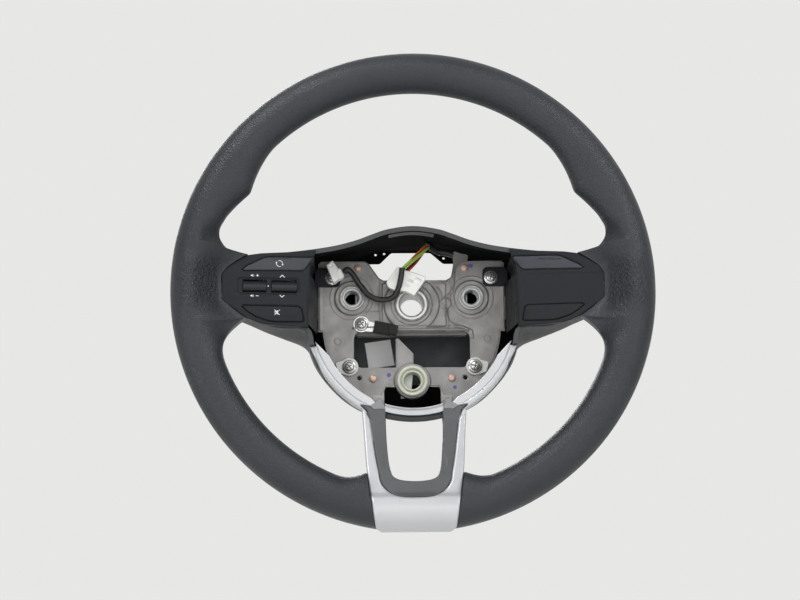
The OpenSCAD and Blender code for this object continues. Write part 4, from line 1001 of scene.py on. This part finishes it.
left_front = pod_front(True)
sign("mode_sign", ring_arrows, -102.5, 21.4, fronts["mode_button"], (-106, -99, 18, 25), "mode_button")
sign("mute_sign", muted, -104.2, -16.6, fronts["mute_button"], (-107, -101, -20, -13.5), "mute_button")
sign("louder_sign", louder, -121.4, 11.9, left_front, (-125, -118, 10, 14))
sign("softer_sign", softer, -121.6, -3.9, left_front, (-125, -118, -6, -2))
sign("next_sign", chevron, -100.4, 11.7, left_front, (-103, -98, 10, 13.5))
sign("last_sign", lambda u, v: chevron(u, -v), -100.6, -3.9, left_front, (-103, -98, -6, -2))
relief("rocker_lamp", lambda x, z: sd_circle(-111.1, 3.9, 0.45, x, z), lambda x, z: left_front(x, z) - 0.06,
    (-112, -110.2, 3, 4.8), 0.12, icon_mat, depth=0.3, edge=0.05, slot="button_black")

# ---- hub plate

plate_half_w, plate_top, notch_z, notch_left, notch_right = 74.5, 35, 19.5, -31, 36
seat_hole, low_seat_hole, low_boss, hub_hole, lug_hole = 9.4, 11.4, 13.7, 13.4, 1.8  # radii
window_x, window_z0, window_z1 = 46.3, -51, -21
seat_x, seat_z, seat_low_z = 47.7, 5, 62
screw_at = [(-50, -50.5), (50, -50.5), (-63.5, 21), (63.5, 21), (-40.2, -16)]  # trim, pods and earth
upper_plate = [[-plate_half_w, -22], [-plate_half_w, plate_top - 2], [-plate_half_w + 2, plate_top],
    [notch_left - 6, plate_top], [notch_left - 2.5, plate_top - 2.5], [notch_left + 5, notch_z + 2],
    [notch_left + 8.5, notch_z], [notch_right - 8.5, notch_z], [notch_right - 5, notch_z + 2],
    [notch_right + 2.5, plate_top - 2.5], [notch_right + 6, plate_top], [plate_half_w - 2, plate_top],
    [plate_half_w, plate_top - 2], [plate_half_w, -22]]
upper_loop = corner_round(upper_plate, 2.0, 4)
low_plate = [[-80, -15], [80, -15], [80, -80], [27, -80], [21.3, -66.5], [-21.3, -66.5], [-27, -80],
    [-80, -80]]
gusset = [[-13, -28], [-11, -27.5], [1, -40], [1, -55], [-13, -55]]


def plate_field(x, z):
    body = either(sd_poly(upper_loop, x, z),
        both(sd_circle(0, arc_z, arc_r - 1.0, x, z), sd_poly(low_plate, x, z)),
        sd_circle(0, -seat_low_z, low_boss, x, z))
    hole = both(sd_box(-window_x, window_x, window_z0, window_z1, 7, x, z),
        -sd_circle(0, -seat_low_z, low_boss, x, z), -sd_poly(gusset, x, z))
    d = both(body + 0.2, -hole + 0.2)
    for sx in (-seat_x, seat_x):
        d = both(d, -sd_circle(sx, seat_z, seat_hole, x, z))
    d = both(d, -sd_circle(0, -seat_low_z, low_seat_hole, x, z), -sd_circle(0, 0, hub_hole, x, z))
    for px, pz in ((-42.1, -59.3), (42.1, -59.3)):
        d = both(d, -sd_circle(px, pz, lug_hole, x, z))
    return d


ribs = [  # raised casting lines (x, z), half width, height
    ([(34.5, 33), (33.9, 24), (33.3, 15), (32.2, 9.5), (29.6, 6.6), (26.6, 5.4)], 0.55, 0.7),
    ([(20.5, 13), (22.8, 9.5), (23.2, 5.5), (22.4, 1.8)], 0.5, 0.5),
    ([(27.2, -3.9), (27.6, -10), (29.6, -14.6), (33.6, -17), (39, -18.6), (44.5, -21)], 0.6, 0.7),
    ([(-36.5, 34.2), (-33, 31.4), (-25.6, 21.0), (-22.4, 17.6), (-17, 16.8), (22, 16.8), (28.6, 17.6),
      (32.6, 21.4)], 0.45, 0.55),
    ([(-24.6, 17), (-24.6, 8), (-25.4, -2), (-24.6, -10), (-24.6, -19)], 0.4, 0.4),
    ([(28.6, -4.5), (28.6, -19)], 0.4, 0.4),
    ([(-38, -6.6), (-24.6, -6.6)], 0.35, 0.35),
    ([(-46.3, -19.2), (-38, -18.4), (20, -18.4), (40, -18.6), (47.4, -21.8), (48.2, -27)], 0.5, 0.6),
    ([(-73, 30), (-73, -20)], 0.8, 0.5), ([(73, 30), (73, -20)], 0.8, 0.5),
]


def plate_front(x, z):
    y = -0.14 + 0 * x
    sunk = both(sd_box(-24, 28, -19, 18, 3, x, z), -sd_circle(0, 0, 21.4, x, z))
    y = y + 1.5 * smooth(-sunk / 1.1)
    y = y + 1.45 * smooth(-sd_circle(0, 0, 16.9, x, z) / 0.8)
    for sx in (-seat_x, seat_x):
        y = y - 1.5 * smooth((14.4 - np.hypot(x - sx, z - seat_z)) / 1.3)
        y = y - 0.35 * smooth(1 - np.abs(np.hypot(x - sx, z - seat_z) - 17.2) / 0.7)
    y = y - 1.5 * smooth((15.0 - np.hypot(x, z + seat_low_z)) / 1.2)
    y = y - 0.9 * smooth((5.0 - np.hypot(x - 27, z - 0.5)) / 1.0)
    y = y + 0.3 * smooth((2.4 - np.hypot(x - 27, z - 0.5)) / 0.6)
    for pts, half, high in ribs:
        y = y - high * smooth(1 - (sd_line(pts, x, z) - half) / 0.9)
    for px, pz in ((-29.6, -43), (31, 23), (-60, -30), (61, -28), (-17, -64)):
        y = y + 0.25 * smooth((2.0 - np.abs(np.hypot(x - px, z - pz) - 2.6)) / 0.5 - 2.4)
    gentle = 0.22 * np.sin(x / 13.0 + 0.6) * np.cos(z / 11.0) + 0.12 * np.sin(x / 4.7 + z / 6.1)
    return y - 0.18 - 0.5 * gentle * smooth((np.hypot(x, z) - 24) / 10)


relief("plate_face", plate_field, plate_front, (-76, 76, -90, 37), 0.5, face_mat, depth=2.2, edge=0.9,
    slot="cast_alloy")

# tapering ramp of the casting above the window, seen through it
relief("window_lip", lambda x, z: both(sd_box(-45.6, 45.6, -24.4, -19, 3.0, x, z),
    -sd_circle(0, -seat_low_z, low_boss, x, z)), lambda x, z: 1.2 + 4.6 * smooth((-z - 20.6) / 3.4),
    (-47, 47, -26, -18), 0.4, cast_mat, depth=9, edge=0.6, slot="cast_alloy")

label_y = cover_depth - cover_wall - 0.5
label = on_plane([(364.6, 343.2), (390.2, 339.6), (394.6, 365.2), (368.8, 369.2)], label_y)
lo, hi = label.min(0) - 1, label.max(0) + 1
relief("window_label", lambda x, z: sd_poly(label, x, z), level_at(label_y), (lo[0], hi[0], lo[1], hi[1]),
    0.4, label_mat, depth=0.3, edge=0.08, slot="plug_white")
relief("dark_floor", lambda x, z: sd_box(-52, 52, -60, -17, 6, x, z),
    level_at(cover_depth - cover_wall - 0.1), (-53, 53, -61, -16), 2.0, floor_mat, depth=0.05, edge=0.02,
    slot="cover_grey")
for i, (px, py, r) in enumerate(((388.9, 375, 1.7), (455, 387.1, 1.5), (470.5, 265.9, 1.9))):
    cx, cz = on_plane([(px, py)], -0.3)[0]

    def dot(x, z):
        return sd_circle(cx, cz, r, x, z) + 0.25 * np.sin(7 * np.arctan2(z - cz, x - cx))

    relief(f"paint_dot_{i}", dot, lambda x, z: plate_front(x, z) - 0.05, (cx - 3, cx + 3, cz - 3, cz + 3),
        0.2, blue_mat, depth=0.1, edge=0.03, slot="cast_alloy")

# ---- seats, bushing, screws, rivets

def turned(name, profile, x, z, mat, slot, replaces=(), n=64):
    return mesh_piece(name, *revolve(profile, x, z, n), mat, slot=slot, replaces=replaces, angle=28)


seat_outline = [(5.2, 10), (5.2, -1.6), (5.6, -2.4), (6.3, -2.9), (7.2, -2.9), (7.5, -2.2), (8.0, -2.2),
    (8.3, -3.2), (9.0, -3.5), (9.7, -3.3), (10.2, -2.8), (10.3, -1.6), (8.2, -1.55), (8.2, 10), (5.2, 10)]
low_seat_outline = [(6.6, 10), (6.6, -1.4), (7.0, -2.3), (7.7, -2.7), (8.4, -2.2), (8.7, -1.2), (9.2, -1.2),
    (9.5, -2.6), (10.2, -3.3), (11.3, -3.4), (12.0, -3.0), (12.3, -2.2), (12.3, -1.6), (10.2, -1.55),
    (10.2, 10), (6.6, 10)]
for name, outline, x, z, mat in (
        ("left_seat", seat_outline, -seat_x, seat_z, seat_mat),
        ("right_seat", seat_outline, seat_x, seat_z, seat_mat),
        ("lower_seat", low_seat_outline, 0, -seat_low_z, low_seat_mat)):
    turned(name + "_ring", outline, x, z, mat, "seat_plastic", [name + "_bush"])

TEETH, STEPS = 36, 6  # splines of the bore, and steps round each
bore_r, tooth_h = 9.0, 0.42


def splined_outline(k):
    """The hub bushing's outline, with the fine splines of its bore."""
    r = bore_r if k % STEPS / STEPS < 0.34 else bore_r + tooth_h
    return [(r, 33), (r, 1.6), (9.7, 0.2), (10.6, -0.6), (11.4, -0.75), (12.3, -0.6), (13.1, 0.1),
        (13.5, 1.0), (13.5, 32), (12.5, 33), (r, 33)]


mesh_piece("splined_bushing", *revolve(splined_outline, 0, 0, TEETH * STEPS), turned_mat, slot="turned_steel",
    replaces=["hub_bushing"], angle=30, merge=0.001)


def screw_head(x, z, y, turn_deg):
    """Pan head with a cross recess, on its washer. Outlines are of (radius, height above y)."""
    def turned_at(outline):
        return raw_mesh("screw", *revolve([(r, y - high) for r, high in outline], x, z, 40), zinc_mat,
            merge=0.001)

    head = turned_at([(0.0, 3.6), (1.2, 3.55), (2.3, 3.35), (3.2, 2.9), (3.75, 2.3), (3.95, 1.6), (3.95, 1.0),
        (0.0, 0.9)])
    a = radians(turn_deg)
    for k in (0, 1):
        b = a + k * pi / 2
        c, s = cos(b), sin(b)
        bar = [(x + u * c - v * s, z + u * s + v * c)
            for u, v in ((-2.5, -0.42), (2.5, -0.42), (2.5, 0.42), (-2.5, 0.42))]
        # the cross recess takes the cutter's darker zinc: painted shade
        cut(head, cutter(bar, y - 5, y - 2.0, "y", recess_shade_mat))
    return head, turned_at([(3.0, 1.3), (4.1, 1.35), (4.9, 1.1), (5.5, 0.6), (5.6, 0.1), (5.6, 0), (2.5, 0),
        (3.0, 1.3)])


def merged(name, objects, **kw):
    """One object from several that share the first one's list of materials."""
    mats = list(objects[0].data.materials)
    bm = bmesh.new()
    for o in objects:
        bm.from_mesh(o.data)
        bpy.data.meshes.remove(o.data)
    me = bpy.data.meshes.new(name)
    bm.to_mesh(me)
    bm.free()
    for m in mats:  # added, because clearing the list would reset what each face has
        me.materials.append(m)
    o = bpy.data.objects.new(name, me)
    scene.collection.objects.link(o)
    return finish_piece(o, **kw)


for name, node_name, places, y in (
        ("pod_screw_heads", "pod_screws", screw_at[2:4], -2.65),
        ("trim_screw_heads", "trim_screws", screw_at[:2], -2.25),
        ("ground_screw_head", "ground_screw", screw_at[4:], -0.9)):
    parts = [p for i, (x, z) in enumerate(places) for p in screw_head(x, z, y, 20 + 37 * i + len(name))]
    merged(name, parts, slot="zinc_steel", replaces=[node_name], angle=32)
# screw lugs of the trim
for (side, name), (cx, cz) in zip(SIDES, screw_at):
    tab = [(cx + side * 1, cz + 6.4), (cx + side * 11.4, cz + 3.2), (cx + side * 9.2, cz - 4.6),
        (cx + side * 2.4, cz - 7)]
    relief(f"{name}_trim_lug", lambda x, z: either(sd_circle(cx, cz, 7.2, x, z), sd_poly(tab, x, z)),
        level_at(-2.2), (cx - 13, cx + 13, cz - 9, cz + 9), 0.35, grey_plug_mat, depth=1.8, edge=0.5,
        slot="silver_paint")
for i, (x, z) in enumerate(((-42.8, 29.5), (-31.4, -59.8), (42.8, 29.5), (31.4, -59.8))):
    turned(f"rivet_{i}", [(0, -1.75), (1.1, -1.7), (2.0, -1.5), (2.7, -1.0), (3.1, -0.35), (3.1, 0.1)], x, z,
        copper_mat, "copper", ["contact_rivets"], 32)

# ---- wiring

lead_r, wire_r, sleeve_r = 2.2, 0.86, 2.7
lead = [[-53.3, -10, 24.6], [-51.3, -9.6, 27], [-47.5, -9, 24], [-42, -8.5, 15.5], [-36, -8.5, 7.5],
    [-28, -8.5, 3], [-20, -9, 2.4], [-14, -11.4, 4.8], [-10.5, -14.6, 11], [-8.6, -16, 19],
    [-7.6, -16.4, 26.5]]
mesh_piece("lead", *tube(lead, lead_r, 14, 6), sleeve_mat, slot="plain_black", replaces=["lead_sheath"],
    angle=50)
wire_route = [at_pixel(*p) for p in ((404.5, 271.5, -8.2), (408.5, 266.5, -8.6), (413.5, 261, -7),
    (419, 255, -4), (424, 249, -1), (427.5, 245.8, 4))]
# each wire's place across the bundle, and the solid that it replaces
wires = ((-1.0, 1.6, "orange", True), (0.8, 1.7, "orange", False), (0.0, 0.2, "orange", False),
    (-2.0, -0.4, "red", True), (-1.4, -1.9, "green", True), (1.5, 0.1, "orange", False),
    (0.3, -1.4, "black", True), (1.9, -1.4, "red", False), (-2.9, -1.3, "green", False),
    (2.4, 1.5, "black", False))
wire_mats = {"orange": orange_mat, "red": red_mat, "green": green_mat, "black": black_mat}
across, up = np.array([0.72, 0.0, -0.69]), np.array([0.0, 1.0, 0.0])
for i, (a, b, tone, replaces) in enumerate(wires):
    pts = []
    for k, p in enumerate(wire_route):
        t = k / (len(wire_route) - 1)
        spread = 0.9 + 0.25 * sin(pi * t) + 0.1 * sin(5 * t + i) - 0.25 * t
        ca, sa = cos(2.0 * t), sin(2.0 * t)
        pts.append(p + spread * ((a * ca - b * sa) * across + (a * sa + b * ca) * up * 0.8))
    mesh_piece(f"wire_{i}", *tube(pts, wire_r, 9, 5), wire_mats[tone],
        slot="plain_black" if tone == "black" else "wire_" + tone,
        replaces=[tone + "_wire"] if replaces else (), angle=60)
sleeve = [at_pixel(426.5, 246.6, 2), at_pixel(428.6, 246.2, 7), (21.5, 12.5, 45.2), (27, 13, 44.6),
    (35, 12, 42.2)]
mesh_piece("bundle_sleeve", *tube(sleeve, sleeve_r, 14, 5), sleeve_mat, slot="plain_black", angle=60)


def plug_shell(name, corners, y, deep, slot, replaces, wells=()):
    """Moulded plug with rounded edges, and shallow windows with their depths, from corners given by pixel."""
    pts = corner_round(on_plane(corners, y), 0.7, 4)

    def front(x, z):
        out = y + 0 * x
        for window, well in wells:
            out = out + well * smooth(-sd_poly(on_plane(window, y), x, z) / 0.35)
        return out

    lo, hi = pts.min(0) - 1, pts.max(0) + 1
    relief(name, lambda x, z: sd_poly(pts, x, z), front, (lo[0], hi[0], lo[1], hi[1]), 0.25, white_mat,
        depth=deep, edge=0.55, slot=slot, replaces=replaces)


plug_shell("switch_plug", [(326.2, 265.0), (332.6, 260.2), (337.6, 267.6), (338.6, 279.6), (333.2, 282.6)],
    -15.6, 8.6, "plug_white", ["left_plug"],
    [([(328.6, 266.4), (332.0, 264.0), (333.0, 266.2), (329.6, 268.4)], 0.5)])
plug_shell("switch_plug_latch", [(336.6, 267.9), (340.6, 268.6), (344.0, 275.6), (342.4, 277.8),
    (337.4, 280.4)], -14.2, 6.8, "plug_white", ())
lead_plug = [(386.2, 282.2), (397.6, 266.4), (402.4, 268.6), (401.4, 280), (399.4, 290.4), (392.4, 289.2),
    (388.2, 286.6)]
plug_shell("lead_plug", lead_plug, -12.4, 6.6, "plug_white", ["centre_plug"],
    [([(391.0, 279.6), (396.2, 272.2), (397.8, 273.4), (392.8, 280.8)], 0.6)])
socket = [(401.6, 269.2), (415.6, 272.8), (425.6, 276.8), (425.0, 280.2), (414.2, 295.6), (405.4, 291.0),
    (400.0, 290.4)]
plug_shell("wire_socket", socket, -12.9, 7.6, "plug_grey", ["centre_socket"],
    [([(409.4, 279.0), (413.4, 280.2), (412.6, 282.8), (408.6, 281.4)], 2.2),
    ([(416.0, 277.6), (421.6, 279.8), (420.6, 281.8), (415.2, 279.6)], -0.7),
    ([(404.6, 283.0), (409.6, 285.6), (408.8, 287.2), (403.8, 284.8)], 0.7)])

# ---- materials of the CAD solids

looks = ((cast_mat, "armature rim_core"), (turned_mat, "hub_bushing"), (cover_mat, "rear_cover"),
    (shaded_cover_mat, "lower_spoke_cover"), (pod_mat, "left_bezel right_bezel"),
    (board_mat, "left_board right_board"), (silicone_mat, "left_keypad right_keypad"),
    (button_mat, "mode_button trip_button"), (button_low_mat, "mute_button reset_button"),
    (rocker_mat, "volume_rocker seek_rocker"), (seat_mat, "left_seat_bush right_seat_bush"),
    (low_seat_mat, "lower_seat_bush"), (spring_mat, "left_snap_wire right_snap_wire lower_clip"),
    (copper_mat, "contact_rivets"), (zinc_mat, "pod_screws trim_screws ground_screw ground_tab"),
    (white_mat, "left_plug centre_plug"),
    (black_mat, "left_switch_back right_switch_back ground_connector black_wire"),
    (sleeve_mat, "lead_sheath"), (grey_plug_mat, "centre_socket"), (orange_mat, "orange_wire"),
    (green_mat, "green_wire"), (red_mat, "red_wire"), (tape_mat, "harness_tape"), (grip_mat, "rim_foam"),
    (trim_mat, "spoke_trim"), (insert_mat, "spoke_insert"))
for mat, names in looks:
    for name in names.split():
        paint(NODES[name], mat)

# ---- floor

size, floor_z = 4000, -550  # mm
floor = raw_mesh("floor", [(-size, -size, floor_z), (size, -size, floor_z), (size, size, floor_z),
    (-size, size, floor_z)], [(0, 1, 2, 3)],
    material("floor_pale", (0.78, 0.78, 0.77), 0.8, vary=0.02, spots=3, bevel=0))
